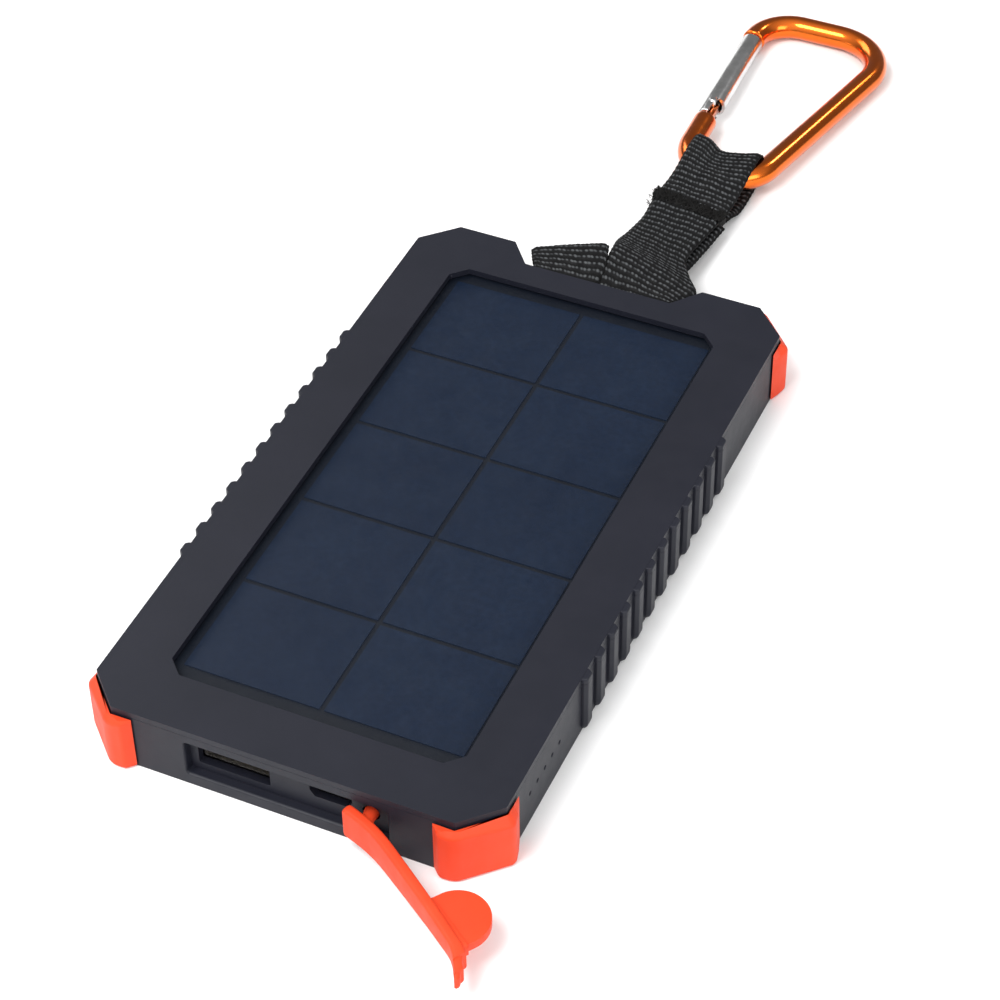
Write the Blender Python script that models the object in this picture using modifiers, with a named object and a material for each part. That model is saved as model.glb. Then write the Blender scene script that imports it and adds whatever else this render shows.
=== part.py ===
"""Solar phone charger with a rubber port cover, a webbing strap and a snap hook.

The origin is the centre of the case's flat underside. +X is to the right as seen from the socket
end, +Y points to the strap end and +Z is up, out of the solar window. Sizes below are in
millimetres and the scene is in metres.
"""
import math

import bmesh
import bpy
from mathutils import Matrix, Vector

MM = 0.001
GAP = 0.3                      # clearance between pieces that touch on the real object

# case
CASE_W = 75.0
CASE_L = 138.0
CASE_H = 13.0
CORNER = 6.3                   # plan chamfer at the four corners
TUB_TOP = 11.5                 # parting line between tub and cover
WALL = 1.8
FLOOR = 1.6
FRONT = -CASE_L / 2
BACK = CASE_L / 2
SIDE = CASE_W / 2
FRONT_WALL_INSIDE = FRONT + 3.2

# notch for the strap in the back end
NOTCH_OUTER = 19.5             # half width at the back face
NOTCH_INNER = 15.0             # half width at its bottom
NOTCH_Y = 63.5
BAR_Y = 66.8
BAR_Z = 6.5
BAR_R = 1.6
BAR_LENGTH = 2 * NOTCH_OUTER + 0.8

# grip ribs
RIBS = 12                      # on each side
RIB_PITCH = 5.65
RIB_PLAN = (                   # section of one rib: out from the side face, and along it
    (-0.6, -1.5), (0.5, -1.3), (1.1, -0.75), (1.1, 0.75), (0.5, 1.3), (-0.6, 1.5),
)
TUB_RIB = ((0.5, 0.35), (1.2, 0.85), (1.9, 1.0), (TUB_TOP - 0.1, 1.0))   # height, share of the section
COVER_RIB = ((TUB_TOP + GAP + 0.1, 1.0), (CASE_H - 0.4, 1.0), (CASE_H - 0.1, 0.75))

# solar window and panel
WINDOW_X = 27.14
WINDOW_Y0 = -58.3
WINDOW_Y1 = 57.8
WINDOW_CORNER = 2.9
PANEL_X = 29.3
PANEL_Y0 = -60.3
PANEL_Y1 = 59.8
PANEL_CORNER = 5.0
CELL_PITCH_Y = 22.2
CELL_PITCH_X = 26.3
CELL_GAP = 0.9
CELLS_MID_Y = 1.05
CELL_COLUMNS = 2
CELL_ROWS = 5
BOARD_LAYER = (10.1, 10.4)     # backing board, cells and clear sheet, as heights
CELL_LAYER = (10.55, 10.75)
SHEET_LAYER = (10.9, 11.5)

# socket end
RECESS_X0 = -17.9
RECESS_X1 = 19.2
RECESS_Z0 = 2.4
RECESS_Z1 = 9.9
RECESS_Y = FRONT + 1.8
USB_X = -9.72
USB_Z = 6.92
USB_OPENING = (13.25, 5.55)
USB_SHELL = (13.3, 5.75, 14.0)
USB_SHEET = 0.4
MICRO_X = 8.08
MICRO_Z = 6.55
MICRO_OPENING = (7.65, 2.1)
SOCKET_Y = FRONT_WALL_INSIDE + GAP
LED_Y = (-41.6, -44.6, -47.6, -50.6, -53.6)
LED_Z = 6.7
LED_HOLE_R = 0.38
BOARD_Z0 = 4.0
BOARD_Z1 = 5.0
SCREWS = ((-31.5, -59.5), (31.5, -59.5), (-31.5, 60.0), (31.5, 60.0))
SCREW_HOLE_R = 1.4
SCREW_HEAD_R = 2.2
SCREW_SINK_R = 2.6
BOSS_R = 2.0
BOSS_BORE_R = 1.2

# port cover, in its closed place; the swivel turns it half a turn to the rest pose
PEG_X = 15.4
PEG_Z = 6.1
PEG_R = 1.3
COVER_T = 1.9
COVER_HALF_H = 3.4
COVER_INNER_Y = RECESS_Y - GAP
SHORT_END = 3.0                # from the peg to the cover's short end
ROOT_LENGTH = 6.0
PULL = 1.6
LIFT = math.radians(18.0)
FLEX = math.radians(17.0)
PLUG_W = 10.8                  # half-disc blade that closes the USB-A socket
PLUG_REACH = 7.6
PLUG_SHIFT = 0.6               # the blade sits this far off the middle of its rim
LUG_REACH = 0.55               # of the small lug over the micro-USB socket
PLUG_LOW = -1.2
PLUG_HIGH = 0.6

# strap
WEB_W = 15.0
WEB_T = 1.25
BEND_Y = 88.0
BEND_Z = 5.6
STRAP_X = 3.2
TACK_Y = 101.0
TACK_LENGTH = 2.7
WRAPS = (("left", -14.7, -4.6, 6.0), ("right", -4.2, 14.7, 7.6))
LOOP_X = STRAP_X + 1.2
LOOP_HALF_W = 5.7
LOOP_END_Y = 126.0
LOOP_LOW = 0.25

# snap hook, flat outline of the wire's centre line, laid with a small tilt
WIRE_R = 2.48
HOOK_AXIS_Y = 114.87
HOOK_AXIS_Z = 4.29
HOOK_TOP_Y = 173.64
HOOK_TILT = math.atan2(4.29 - 2.7, HOOK_TOP_Y - HOOK_AXIS_Y)
HOOK_CORNERS = (
    (-3.4, HOOK_AXIS_Y, 9.19), (12.43, HOOK_AXIS_Y, 8.61),
    (25.14, HOOK_TOP_Y, 11.18), (-5.9, HOOK_TOP_Y, 8.5),
)
PIVOT_Y = 137.0
PIVOT_R = 0.7
GATE_Y0 = 133.0
GATE_Y1 = 163.9
GATE_R = 2.35
GATE_BORE = 1.75
HOLE_SLACK = 0.15

PARTS = None
CUTTERS = None


def clear_scene():
    for thing in list(bpy.data.objects):
        bpy.data.objects.remove(thing, do_unlink=True)


def new_collection(name):
    group = bpy.data.collections.new(name)
    bpy.context.scene.collection.children.link(group)
    return group


def material(name, colour, roughness, metallic=0.0, alpha=1.0):
    mat = bpy.data.materials.new(name)
    mat.use_nodes = True
    shader = mat.node_tree.nodes["Principled BSDF"]
    shader.inputs["Base Color"].default_value = (*colour, 1.0)
    shader.inputs["Roughness"].default_value = roughness
    shader.inputs["Metallic"].default_value = metallic
    shader.inputs["Alpha"].default_value = alpha
    mat.diffuse_color = (*colour, alpha)
    return mat


def add_object(name, mesh, mat=None, parent=None):
    """A new object: a part if it has a material, else a cutter."""
    thing = bpy.data.objects.new(name, mesh)
    if mat is None:
        CUTTERS.objects.link(thing)
        thing.hide_render = True
        thing.display_type = "WIRE"
    else:
        PARTS.objects.link(thing)
        mesh.materials.append(mat)
    thing.parent = parent
    return thing


def empty(name, location, parent=None, rotation=(0.0, 0.0, 0.0)):
    """A joint's axis point, which carries the pieces that move on it."""
    thing = bpy.data.objects.new(name, None)
    thing.empty_display_size = 0.005
    PARTS.objects.link(thing)
    thing.location = Vector(location) * MM
    thing.rotation_euler = rotation
    thing.parent = parent
    return thing


def smooth(thing, degrees=35.0):
    thing.data.shade_smooth()
    thing.data.set_sharp_from_angle(angle=math.radians(degrees))


def box(name, low, high, mat=None, parent=None, bevel=0.0):
    low = Vector(low)
    high = Vector(high)
    size = (high - low) * MM
    place = Matrix.Translation((low + high) / 2 * MM) @ Matrix.Diagonal((*size, 1.0))
    shape = bmesh.new()
    bmesh.ops.create_cube(shape, size=1.0, matrix=place)
    mesh = bpy.data.meshes.new(name)
    shape.to_mesh(mesh)
    shape.free()
    thing = add_object(name, mesh, mat, parent)
    if bevel:
        round_edges(thing, bevel)
    return thing


def rod(name, start, end, radius, mat=None, parent=None, sides=16, radius_end=None):
    """A round bar, or a cone where the end radius differs."""
    start = Vector(start)
    end = Vector(end)
    along = end - start
    turn = along.to_track_quat("Z", "Y").to_matrix().to_4x4()
    place = Matrix.Translation((start + end) / 2 * MM) @ turn
    shape = bmesh.new()
    bmesh.ops.create_cone(
        shape,
        cap_ends=True,
        segments=sides,
        radius1=radius * MM,
        radius2=(radius if radius_end is None else radius_end) * MM,
        depth=along.length * MM,
        matrix=place,
    )
    mesh = bpy.data.meshes.new(name)
    shape.to_mesh(mesh)
    shape.free()
    thing = add_object(name, mesh, mat, parent)
    smooth(thing)
    return thing


def round_edges(thing, width, segments=1):
    bevel = thing.modifiers.new("rounded_edges", "BEVEL")
    bevel.width = width * MM
    bevel.segments = segments
    bevel.limit_method = "ANGLE"
    bevel.angle_limit = math.radians(40.0)
    return bevel


def curve_to_mesh(name, curve, mat, parent):
    """Turns a curve into a closed mesh object, with its caps welded on."""
    holder = bpy.data.objects.new(name + "_curve", curve)
    bpy.context.scene.collection.objects.link(holder)
    bpy.context.view_layer.update()
    evaluated = holder.evaluated_get(bpy.context.evaluated_depsgraph_get())
    mesh = bpy.data.meshes.new_from_object(evaluated)
    mesh.name = name
    mesh.materials.clear()
    bpy.data.objects.remove(holder, do_unlink=True)
    shape = bmesh.new()
    shape.from_mesh(mesh)
    bmesh.ops.remove_doubles(shape, verts=shape.verts, dist=0.000002)
    bmesh.ops.recalc_face_normals(shape, faces=shape.faces)
    shape.to_mesh(mesh)
    shape.free()
    return add_object(name, mesh, mat, parent)


def prism(name, outlines, low, high, mat=None, parent=None, axis="Z"):
    """Flat outlines, the first with the rest as holes, made solid from low to high along the axis.

    For axis X the outline's pairs are (y, z) and for axis Y they are (x, z).
    """
    curve = bpy.data.curves.new(name, "CURVE")
    curve.dimensions = "2D"
    curve.fill_mode = "BOTH"
    curve.extrude = (high - low) / 2 * MM
    for outline in outlines:
        spline = curve.splines.new("POLY")
        spline.points.add(len(outline) - 1)
        for point, (u, v) in zip(spline.points, outline):
            point.co = (u * MM, v * MM, 0.0, 1.0)
        spline.use_cyclic_u = True
    thing = curve_to_mesh(name, curve, mat, parent)
    middle = (low + high) / 2 * MM
    turns = {
        "Z": Matrix.Identity(4),
        "X": Matrix(((0, 0, 1, 0), (1, 0, 0, 0), (0, 1, 0, 0), (0, 0, 0, 1))),
        "Y": Matrix(((1, 0, 0, 0), (0, 0, -1, 0), (0, 1, 0, 0), (0, 0, 0, 1))),
    }
    shift = {"Z": (0, 0, middle), "X": (middle, 0, 0), "Y": (0, middle, 0)}
    thing.data.transform(Matrix.Translation(shift[axis]) @ turns[axis])
    return thing


def wire(name, points, radius, mat=None, parent=None, resolution=2):
    """A round wire along points, with filled ends."""
    curve = bpy.data.curves.new(name, "CURVE")
    curve.dimensions = "3D"
    curve.bevel_depth = radius * MM
    curve.bevel_resolution = resolution
    curve.use_fill_caps = True
    spline = curve.splines.new("POLY")
    spline.points.add(len(points) - 1)
    for point, place in zip(spline.points, points):
        point.co = (*(Vector(place) * MM), 1.0)
    thing = curve_to_mesh(name, curve, mat, parent)
    smooth(thing)
    return thing


def combine(thing, other, operation):
    """Cuts or joins another shape, which becomes a hidden cutter."""
    modifier = thing.modifiers.new(other.name, "BOOLEAN")
    modifier.operation = operation
    modifier.solver = "EXACT"
    modifier.object = other
    return modifier


def cut(thing, *others):
    for other in others:
        combine(thing, other, "DIFFERENCE")


def join(thing, *others):
    for other in others:
        combine(thing, other, "UNION")


def arc(centre, radius, start, end, steps):
    """Points on an arc, angles in degrees."""
    points = []
    for step in range(steps + 1):
        angle = math.radians(start + (end - start) * step / steps)
        points.append((centre[0] + radius * math.cos(angle), centre[1] + radius * math.sin(angle)))
    return points


def chamfered(x0, x1, y0, y1, corner):
    return [
        (x0 + corner, y0), (x1 - corner, y0), (x1, y0 + corner), (x1, y1 - corner),
        (x1 - corner, y1), (x0 + corner, y1), (x0, y1 - corner), (x0, y0 + corner),
    ]


def filleted(corners, steps=7):
    """A closed outline through (x, y, radius) corners, each rounded by an arc."""
    points = []
    for index, (x, y, radius) in enumerate(corners):
        here = Vector((x, y))
        before = (Vector(corners[index - 1][:2]) - here).normalized()
        after = (Vector(corners[(index + 1) % len(corners)][:2]) - here).normalized()
        half = before.angle(after) / 2
        centre = here + (before + after).normalized() * (radius / math.sin(half))
        first = here + before * (radius / math.tan(half)) - centre
        last = here + after * (radius / math.tan(half)) - centre
        start = math.atan2(first.y, first.x)
        turn = (math.atan2(last.y, last.x) - start + math.pi) % (2 * math.pi) - math.pi
        points += arc(centre, radius, math.degrees(start), math.degrees(start + turn), steps)
    return points


def case_outline():
    """Plan of the case: chamfered corners and the strap notch in the back end."""
    outline = chamfered(-SIDE, SIDE, FRONT, BACK, CORNER)
    notch = [(NOTCH_OUTER, BACK), (NOTCH_INNER, NOTCH_Y), (-NOTCH_INNER, NOTCH_Y), (-NOTCH_OUTER, BACK)]
    return outline[:5] + notch + outline[5:]


def cavity_outline():
    """Plan of the space inside the tub, which steps round the notch."""
    inside = SIDE - WALL
    back = BACK - WALL
    slope = CORNER - WALL * 0.4
    notch = 2.1
    return [
        (-inside + slope, FRONT_WALL_INSIDE), (inside - slope, FRONT_WALL_INSIDE),
        (inside, FRONT_WALL_INSIDE + slope), (inside, back - slope), (inside - slope, back),
        (NOTCH_OUTER + notch, back), (NOTCH_INNER + notch, NOTCH_Y - notch),
        (-NOTCH_INNER - notch, NOTCH_Y - notch), (-NOTCH_OUTER - notch, back),
        (-inside + slope, back), (-inside, back - slope), (-inside, FRONT_WALL_INSIDE + slope),
    ]


def make_ribs(name, levels):
    """All the grip ribs of the tub or of the cover as one shape: upright bars with bevelled corners."""
    shape = bmesh.new()
    for side in (-1, 1):
        for index in range(RIBS):
            y = (index - (RIBS - 1) / 2) * RIB_PITCH
            rings = []
            for z, share in levels:
                places = [(side * (SIDE + out * share), y + along, z) for out, along in RIB_PLAN]
                rings.append([shape.verts.new(Vector(place) * MM) for place in places])
            for low, high in zip(rings, rings[1:]):
                for k in range(len(low)):
                    shape.faces.new((low[k - 1], low[k], high[k], high[k - 1]))
            shape.faces.new(rings[0])
            shape.faces.new(rings[-1])
    bmesh.ops.recalc_face_normals(shape, faces=shape.faces)
    mesh = bpy.data.meshes.new(name)
    shape.to_mesh(mesh)
    shape.free()
    return add_object(name, mesh)


def make_tub(mat):
    tub = prism("bottom_cover", [case_outline()], 0.0, TUB_TOP, mat)
    join(tub, make_ribs("tub_ribs", TUB_RIB))
    cut(tub, prism("tub_cavity", [cavity_outline()], FLOOR, TUB_TOP + 1.0))
    recess = box("port_recess", (RECESS_X0, FRONT - 1.0, RECESS_Z0), (RECESS_X1, RECESS_Y, RECESS_Z1))
    half_w = USB_OPENING[0] / 2
    half_h = USB_OPENING[1] / 2
    usb = box(
        "usb_opening",
        (USB_X - half_w, FRONT, USB_Z - half_h),
        (USB_X + half_w, FRONT_WALL_INSIDE + 0.5, USB_Z + half_h),
    )
    micro = prism("micro_opening", [micro_outline(0.0)], FRONT, FRONT_WALL_INSIDE + 0.5, axis="Y")
    peg = rod("peg_hole", (PEG_X, FRONT, PEG_Z), (PEG_X, FRONT_WALL_INSIDE + 0.5, PEG_Z), PEG_R + GAP)
    bar_end = Vector((BAR_LENGTH / 2 + GAP, 0.0, 0.0))
    bar_middle = Vector((0.0, BAR_Y, BAR_Z))
    bar = rod("bar_sockets", bar_middle - bar_end, bar_middle + bar_end, BAR_R + GAP)
    cut(tub, recess, usb, micro, peg, bar)
    for number, y in enumerate(LED_Y, 1):
        hole = rod(f"led_hole_{number}", (SIDE - 3.0, y, LED_Z), (SIDE + 1.0, y, LED_Z), LED_HOLE_R, sides=8)
        cut(tub, hole)
    for number, (x, y) in enumerate(SCREWS, 1):
        cut(tub, rod(f"screw_hole_{number}", (x, y, -0.5), (x, y, FLOOR + 0.5), SCREW_HOLE_R))
        cut(tub, rod(f"screw_sink_{number}", (x, y, -0.5), (x, y, 0.9), SCREW_SINK_R))


def make_cover(mat):
    window = chamfered(-WINDOW_X, WINDOW_X, WINDOW_Y0, WINDOW_Y1, WINDOW_CORNER)
    cover = prism("top_cover", [case_outline(), window], TUB_TOP + GAP, CASE_H, mat)
    round_edges(cover, 0.35)
    join(cover, make_ribs("cover_ribs", COVER_RIB))
    for number, (x, y) in enumerate(SCREWS, 1):
        boss = rod(f"cover_boss_{number}", (x, y, FLOOR + GAP), (x, y, TUB_TOP + GAP + 0.5), BOSS_R)
        join(cover, boss)
        cut(cover, rod(f"boss_bore_{number}", (x, y, 0.0), (x, y, 9.0), BOSS_BORE_R))


def make_screws(mat):
    """Cross-head screws, each sunk in the underside and reaching up into its boss."""
    for number, (x, y) in enumerate(SCREWS, 1):
        screw = rod(f"case_screw_{number}", (x, y, 0.2), (x, y, 0.7), SCREW_HEAD_R, mat)
        join(screw, rod(f"screw_shank_{number}", (x, y, 0.5), (x, y, 8.0), 0.9, sides=12))
        slot = box(f"screw_slot_{number}", (x - 3.0, y - 0.3, -1.0), (x + 3.0, y + 0.3, 0.42))
        cross = box(f"screw_cross_{number}", (x - 0.3, y - 3.0, -1.0), (x + 0.3, y + 3.0, 0.42))
        cut(screw, slot, cross)


def make_bumpers(mat):
    """Rubber corner guards: they wrap each chamfered corner and taper onto the side face."""
    wall = GAP                 # the guards stand this far off the case
    corner = GAP * 0.4
    for end_name, end in (("front", -1), ("back", 1)):
        for side_name, side in (("left", -1), ("right", 1)):
            outline = [
                (27.4, BACK + wall), (28.9, BACK + 1.8), (31.7, BACK + 1.8), (SIDE + 1.8, 63.6),
                (SIDE + 1.8, 62.6), (SIDE + wall, 58.6), (SIDE + wall, BACK - CORNER + corner),
                (SIDE - CORNER + corner, BACK + wall),
            ]
            outline = [(side * x, end * y) for x, y in outline]
            bumper = prism(f"bumper_{end_name}_{side_name}", [outline], 0.0, TUB_TOP, mat)
            round_edges(bumper, 0.35)


def make_panel(board_mat, cell_mat, sheet_mat):
    """The solar laminate: a backing board, two columns of five cells and a clear sheet."""
    outline = chamfered(-PANEL_X, PANEL_X, PANEL_Y0, PANEL_Y1, PANEL_CORNER)
    prism("panel_board", [outline], *BOARD_LAYER, board_mat)
    prism("window_sheet", [outline], *SHEET_LAYER, sheet_mat)
    half_x = (CELL_PITCH_X - CELL_GAP) / 2
    half_y = (CELL_PITCH_Y - CELL_GAP) / 2
    for column in range(CELL_COLUMNS):
        for row in range(CELL_ROWS):
            x = (column - (CELL_COLUMNS - 1) / 2) * CELL_PITCH_X
            y = CELLS_MID_Y + (row - (CELL_ROWS - 1) / 2) * CELL_PITCH_Y
            low = (x - half_x, y - half_y, CELL_LAYER[0])
            high = (x + half_x, y + half_y, CELL_LAYER[1])
            box(f"solar_cell_{column + 1}_{row + 1}", low, high, cell_mat)


def micro_outline(grow):
    """The micro-USB trapezoid, wider on top, as (x, z) pairs."""
    half_w = MICRO_OPENING[0] / 2 + grow
    half_h = MICRO_OPENING[1] / 2 + grow
    slope = 0.9
    return [
        (MICRO_X - half_w + slope, MICRO_Z - half_h), (MICRO_X + half_w - slope, MICRO_Z - half_h),
        (MICRO_X + half_w, MICRO_Z + half_h - slope), (MICRO_X + half_w, MICRO_Z + half_h),
        (MICRO_X - half_w, MICRO_Z + half_h), (MICRO_X - half_w, MICRO_Z + half_h - slope),
    ]


def make_sockets(metal, plastic, gold):
    """The USB-A and micro-USB sockets: folded shells, each with a tongue; the USB-A one has contacts."""
    width, height, length = USB_SHELL
    low = Vector((USB_X - width / 2, SOCKET_Y, USB_Z - height / 2))
    high = Vector((USB_X + width / 2, SOCKET_Y + length, USB_Z + height / 2))
    sheet = Vector((USB_SHEET, USB_SHEET, USB_SHEET))
    shell = box("usb_a_shell", low, high, metal)
    bore_low = low + sheet
    bore_low.y = SOCKET_Y - 1.0
    cut(shell, box("usb_a_bore", bore_low, high - sheet))
    tongue_y = (SOCKET_Y + 1.7, SOCKET_Y + 13.0)
    box("usb_a_tongue", (USB_X - 5.6, tongue_y[0], 7.35), (USB_X + 5.6, tongue_y[1], 9.15), plastic)
    back_y = tongue_y[1] - 1.4
    contact_z = (6.8, 7.1)
    back_low = (USB_X - 4.2, back_y, 6.5)
    back_high = (USB_X + 4.2, back_y + 1.2, contact_z[1])
    contacts = box("usb_a_contacts", back_low, back_high, gold)
    for number in range(4):
        x = USB_X + (number - 1.5) * 2.3
        low = (x - 0.5, tongue_y[0] + 0.5, contact_z[0])
        high = (x + 0.5, back_y + 0.4, contact_z[1])
        join(contacts, box(f"usb_contact_{number + 1}", low, high))
    micro = prism("micro_usb_shell", [micro_outline(0.35)], SOCKET_Y, SOCKET_Y + 5.2, metal, axis="Y")
    cut(micro, prism("micro_bore", [micro_outline(0.0)], SOCKET_Y - 1.0, SOCKET_Y + 4.8, axis="Y"))
    low = (MICRO_X - 2.2, SOCKET_Y + 1.0, 6.4)
    high = (MICRO_X + 2.2, SOCKET_Y + 4.5, 7.0)
    box("micro_usb_tongue", low, high, plastic)


def make_electronics(mats):
    """Battery, circuit board and what is on it."""
    box("battery_cell", (-29.5, -34.0, 2.3), (29.5, 57.0, 8.3), mats["foil"], bevel=1.4)
    for number, y in enumerate((-26.0, 30.0), 1):
        box(f"foam_pad_{number}", (-22.0, y, 8.5), (22.0, y + 14.0, 9.8), mats["foam"])
    board = box("circuit_board", (-35.2, -64.5, BOARD_Z0), (35.2, -38.5, BOARD_Z1), mats["board"])
    notch_x = 28.6
    notch_y = -56.6
    cut(
        board,
        box("board_corner_left", (-40.0, -70.0, 3.0), (-notch_x, notch_y, 6.0)),
        box("board_corner_right", (notch_x, -70.0, 3.0), (40.0, notch_y, 6.0)),
        box("board_usb_slot", (USB_X - 7.2, -70.0, 3.0), (USB_X + 7.2, SOCKET_Y + 14.4, 6.0)),
        box("board_peg_slot", (PEG_X - 2.6, -70.0, 3.0), (PEG_X + 2.6, -59.5, 6.0)),
    )
    top = BOARD_Z1 + GAP
    box("controller_chip", (12.0, -52.0, top), (19.0, -45.0, top + 1.0), mats["chip"], bevel=0.2)
    rod("power_inductor", (4.5, -48.0, top), (4.5, -48.0, top + 3.4), 3.4, mats["ferrite"])
    for number, y in enumerate(LED_Y, 1):
        box(f"status_led_{number}", (33.2, y - 0.8, top), (35.2, y + 0.8, top + 2.1), mats["led"])
    for name, side, mat in (("red", -1, mats["red"]), ("black", 1, mats["black"])):
        x = 2.2 * side - 4.0
        rise = arc((-37.0, 4.2), 2.2, 180.0, 70.0, 6)
        points = [(x, y, z + 1.4) for y, z in rise]
        points.append((x, -34.6, 7.6))
        wire(f"battery_lead_{name}", points, 0.55, mat)
        x = 2.2 * side + 27.0
        points = [(x, -41.0, 5.9), (x, -40.2, 7.4), (x, -38.6, 8.3), (x, -36.5, 8.7)]
        wire(f"panel_lead_{name}", points, 0.5, mat)


def half_disc(width, reach, steps=14):
    """Plan of the plug blade: straight sides, then a half round end, towards +Y."""
    radius = width / 2
    return [(-radius, -0.6)] + [(radius, -0.6)] + arc((0.0, reach - radius), radius, 0.0, 180.0, steps)


def shifted(outline, dx, dy):
    return [(x + dx, y + dy) for x, y in outline]


def tab_outline():
    """Plan of the long strip from the flex line to the finger tab with its three stepped ridges."""
    inner = [(-0.15, 0.0), (-0.15, COVER_T), (-26.6, COVER_T)]
    inner += [(-28.4, 1.6), (-28.5, 0.95), (-30.5, -0.1), (-30.6, -0.75), (-31.2, -1.1), (-31.4, -1.4)]
    return inner + [(-31.4, -2.1), (-31.1, -2.2), (-29.5, -1.35), (-27.5, -0.45), (-25.6, 0.0)]


def make_port_cover(rubber):
    """Anchor, stem, root and strip: the rubber slides out, swivels, lifts and flexes."""
    slide = empty("cover_slide_axis", (PEG_X, COVER_INNER_Y - PULL, PEG_Z))
    swivel = empty("cover_swivel_axis", (0.0, 0.0, 0.0), slide, (0.0, math.pi, 0.0))
    lift = empty("cover_lift_axis", (SHORT_END, 0.0, 0.0), swivel, (0.0, 0.0, LIFT))
    flex = empty("cover_flex_axis", (-ROOT_LENGTH, -COVER_T, 0.0), lift, (0.0, 0.0, FLEX))
    anchor_y = FRONT_WALL_INSIDE + GAP - (COVER_INNER_Y - PULL)
    anchor = (Vector((0.0, anchor_y, 0.0)), Vector((0.0, anchor_y + 1.3, 0.0)))
    rod("port_cover_anchor", *anchor, 2.1, rubber, slide, radius_end=1.5)
    rod("port_cover_stem", (0.0, -0.5, 0.0), (0.0, anchor_y - GAP, 0.0), PEG_R, rubber, swivel)
    low = -COVER_HALF_H
    high = COVER_HALF_H
    root = [(0.0, -0.35), (-0.35, 0.0), (-ROOT_LENGTH + 0.15, 0.0), (-ROOT_LENGTH + 0.15, -COVER_T)]
    root += [(-0.35, -COVER_T), (0.0, -COVER_T + 0.35)]
    prism("port_cover_root", [root], low, high, rubber, lift)
    tip = prism("port_cover_strip", [tab_outline()], low, high, rubber, flex)
    to_flex = PEG_X + SHORT_END - ROOT_LENGTH
    plug_x = USB_X - to_flex
    disc = shifted(half_disc(PLUG_W, PLUG_REACH), plug_x + PLUG_SHIFT, COVER_T)
    blade = prism("plug_blade", [disc], PLUG_LOW, PLUG_HIGH, parent=flex)
    root_y = COVER_T - 0.4
    pad = box("plug_rim", (plug_x - 5.2, root_y, -1.6), (plug_x + 6.2, COVER_T + 0.8, 3.0), parent=flex)
    lug_x = MICRO_X - to_flex
    lug = box("micro_lug", (lug_x - 2.7, root_y, -0.3), (lug_x + 2.7, COVER_T + LUG_REACH, 1.2), parent=flex)
    join(tip, pad, blade, lug)


def wrap_outline(reach, outer, inner):
    """Section of a turn of webbing round the bar, as (y, z) pairs from the bar's centre."""
    ring = arc((0.0, 0.0), outer, 90.0, 270.0, 10)
    back = arc((reach, 0.6), outer - 0.6, -90.0, 90.0, 6)
    hole = arc((0.0, 0.0), inner, 90.0, 270.0, 8) + arc((reach, 0.6), inner - 0.6, -90.0, 90.0, 4)
    return [ring + back, hole]


def loop_outlines():
    """Section of the end loop and of its opening, as (y, z) pairs from the bend axis."""
    start = TACK_Y + TACK_LENGTH + 2 * GAP - BEND_Y
    end = LOOP_END_Y - BEND_Y
    low = LOOP_LOW - BEND_Z
    high = HOOK_AXIS_Z + WIRE_R + GAP + WEB_T - BEND_Z
    radius = (high - low) / 2
    middle = (high + low) / 2
    rise = 4.4                 # the tape's two sides part over this length
    loop = arc((end - radius, middle), radius, -90.0, 90.0, 8)
    loop += [(start + rise, high), (start, middle + 0.8), (start, low + 0.3), (start + rise, low)]
    hole = arc((end - radius, middle), radius - WEB_T, -90.0, 90.0, 8)
    hole += [(start + rise, high - WEB_T), (start + 2.6, middle + 0.4), (start + 2.6, middle - 1.4)]
    hole.append((start + rise, low + WEB_T))
    return [loop, hole]


def make_strap(mats):
    """The webbing in its plain shapes, and the bar that it is looped round."""
    end = Vector((BAR_LENGTH / 2, BAR_Y, BAR_Z))
    rod("lanyard_bar", (-end.x, end.y, end.z), end, BAR_R, mats["plastic"])
    swing = empty("strap_swing_axis", (0.0, BAR_Y, BAR_Z))
    inner = BAR_R + GAP
    for name, x0, x1, reach in WRAPS:
        outlines = wrap_outline(reach, inner + WEB_T, inner)
        smooth(prism(f"strap_wrap_{name}", outlines, x0, x1, mats["web"], swing, axis="X"))
    left = STRAP_X - WEB_W / 2
    right = STRAP_X + WEB_W / 2
    lower_y = (11.0, BEND_Y - 0.2 - BAR_Y)
    lower_z = (0.4, BEND_Z - BAR_Z)
    lower = [
        (lower_y[0], lower_z[0] - WEB_T), (lower_y[0], lower_z[0] + WEB_T),
        (lower_y[1], lower_z[1] + WEB_T), (lower_y[1], lower_z[1] - WEB_T),
    ]
    prism("strap_web_lower", [lower], left, right, mats["web"], swing, axis="X")
    bend = empty("strap_bend_axis", (0.0, BEND_Y - BAR_Y, BEND_Z - BAR_Z), swing)
    tack = TACK_Y - BEND_Y
    tack_low = 0.7 - BEND_Z
    tack_high = 5.3 - BEND_Z
    upper = [(0.2, -WEB_T), (0.2, WEB_T), (tack, tack_high - 1.0), (tack, tack_low + 0.1)]
    prism("strap_web_upper", [upper], left, right, mats["web"], bend, axis="X")
    box(
        "strap_bar_tack",
        (left, tack + GAP, tack_low),
        (right, tack + GAP + TACK_LENGTH, tack_high),
        mats["thread"],
        bend,
        bevel=0.5,
    )
    low_x = LOOP_X - LOOP_HALF_W
    high_x = LOOP_X + LOOP_HALF_W
    smooth(prism("strap_end_loop", loop_outlines(), low_x, high_x, mats["web"], bend, axis="X"))
    return bend


def hook_path():
    """Centre line of the hook's body, from the gate's pivot end round to the nose, in hook axes."""
    points = [(x, y - HOOK_AXIS_Y, 0.0) for x, y in filleted(HOOK_CORNERS)]
    return [gate_side(GATE_Y0 - 0.6), *points, gate_side(GATE_Y1 + 0.5)]


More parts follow.
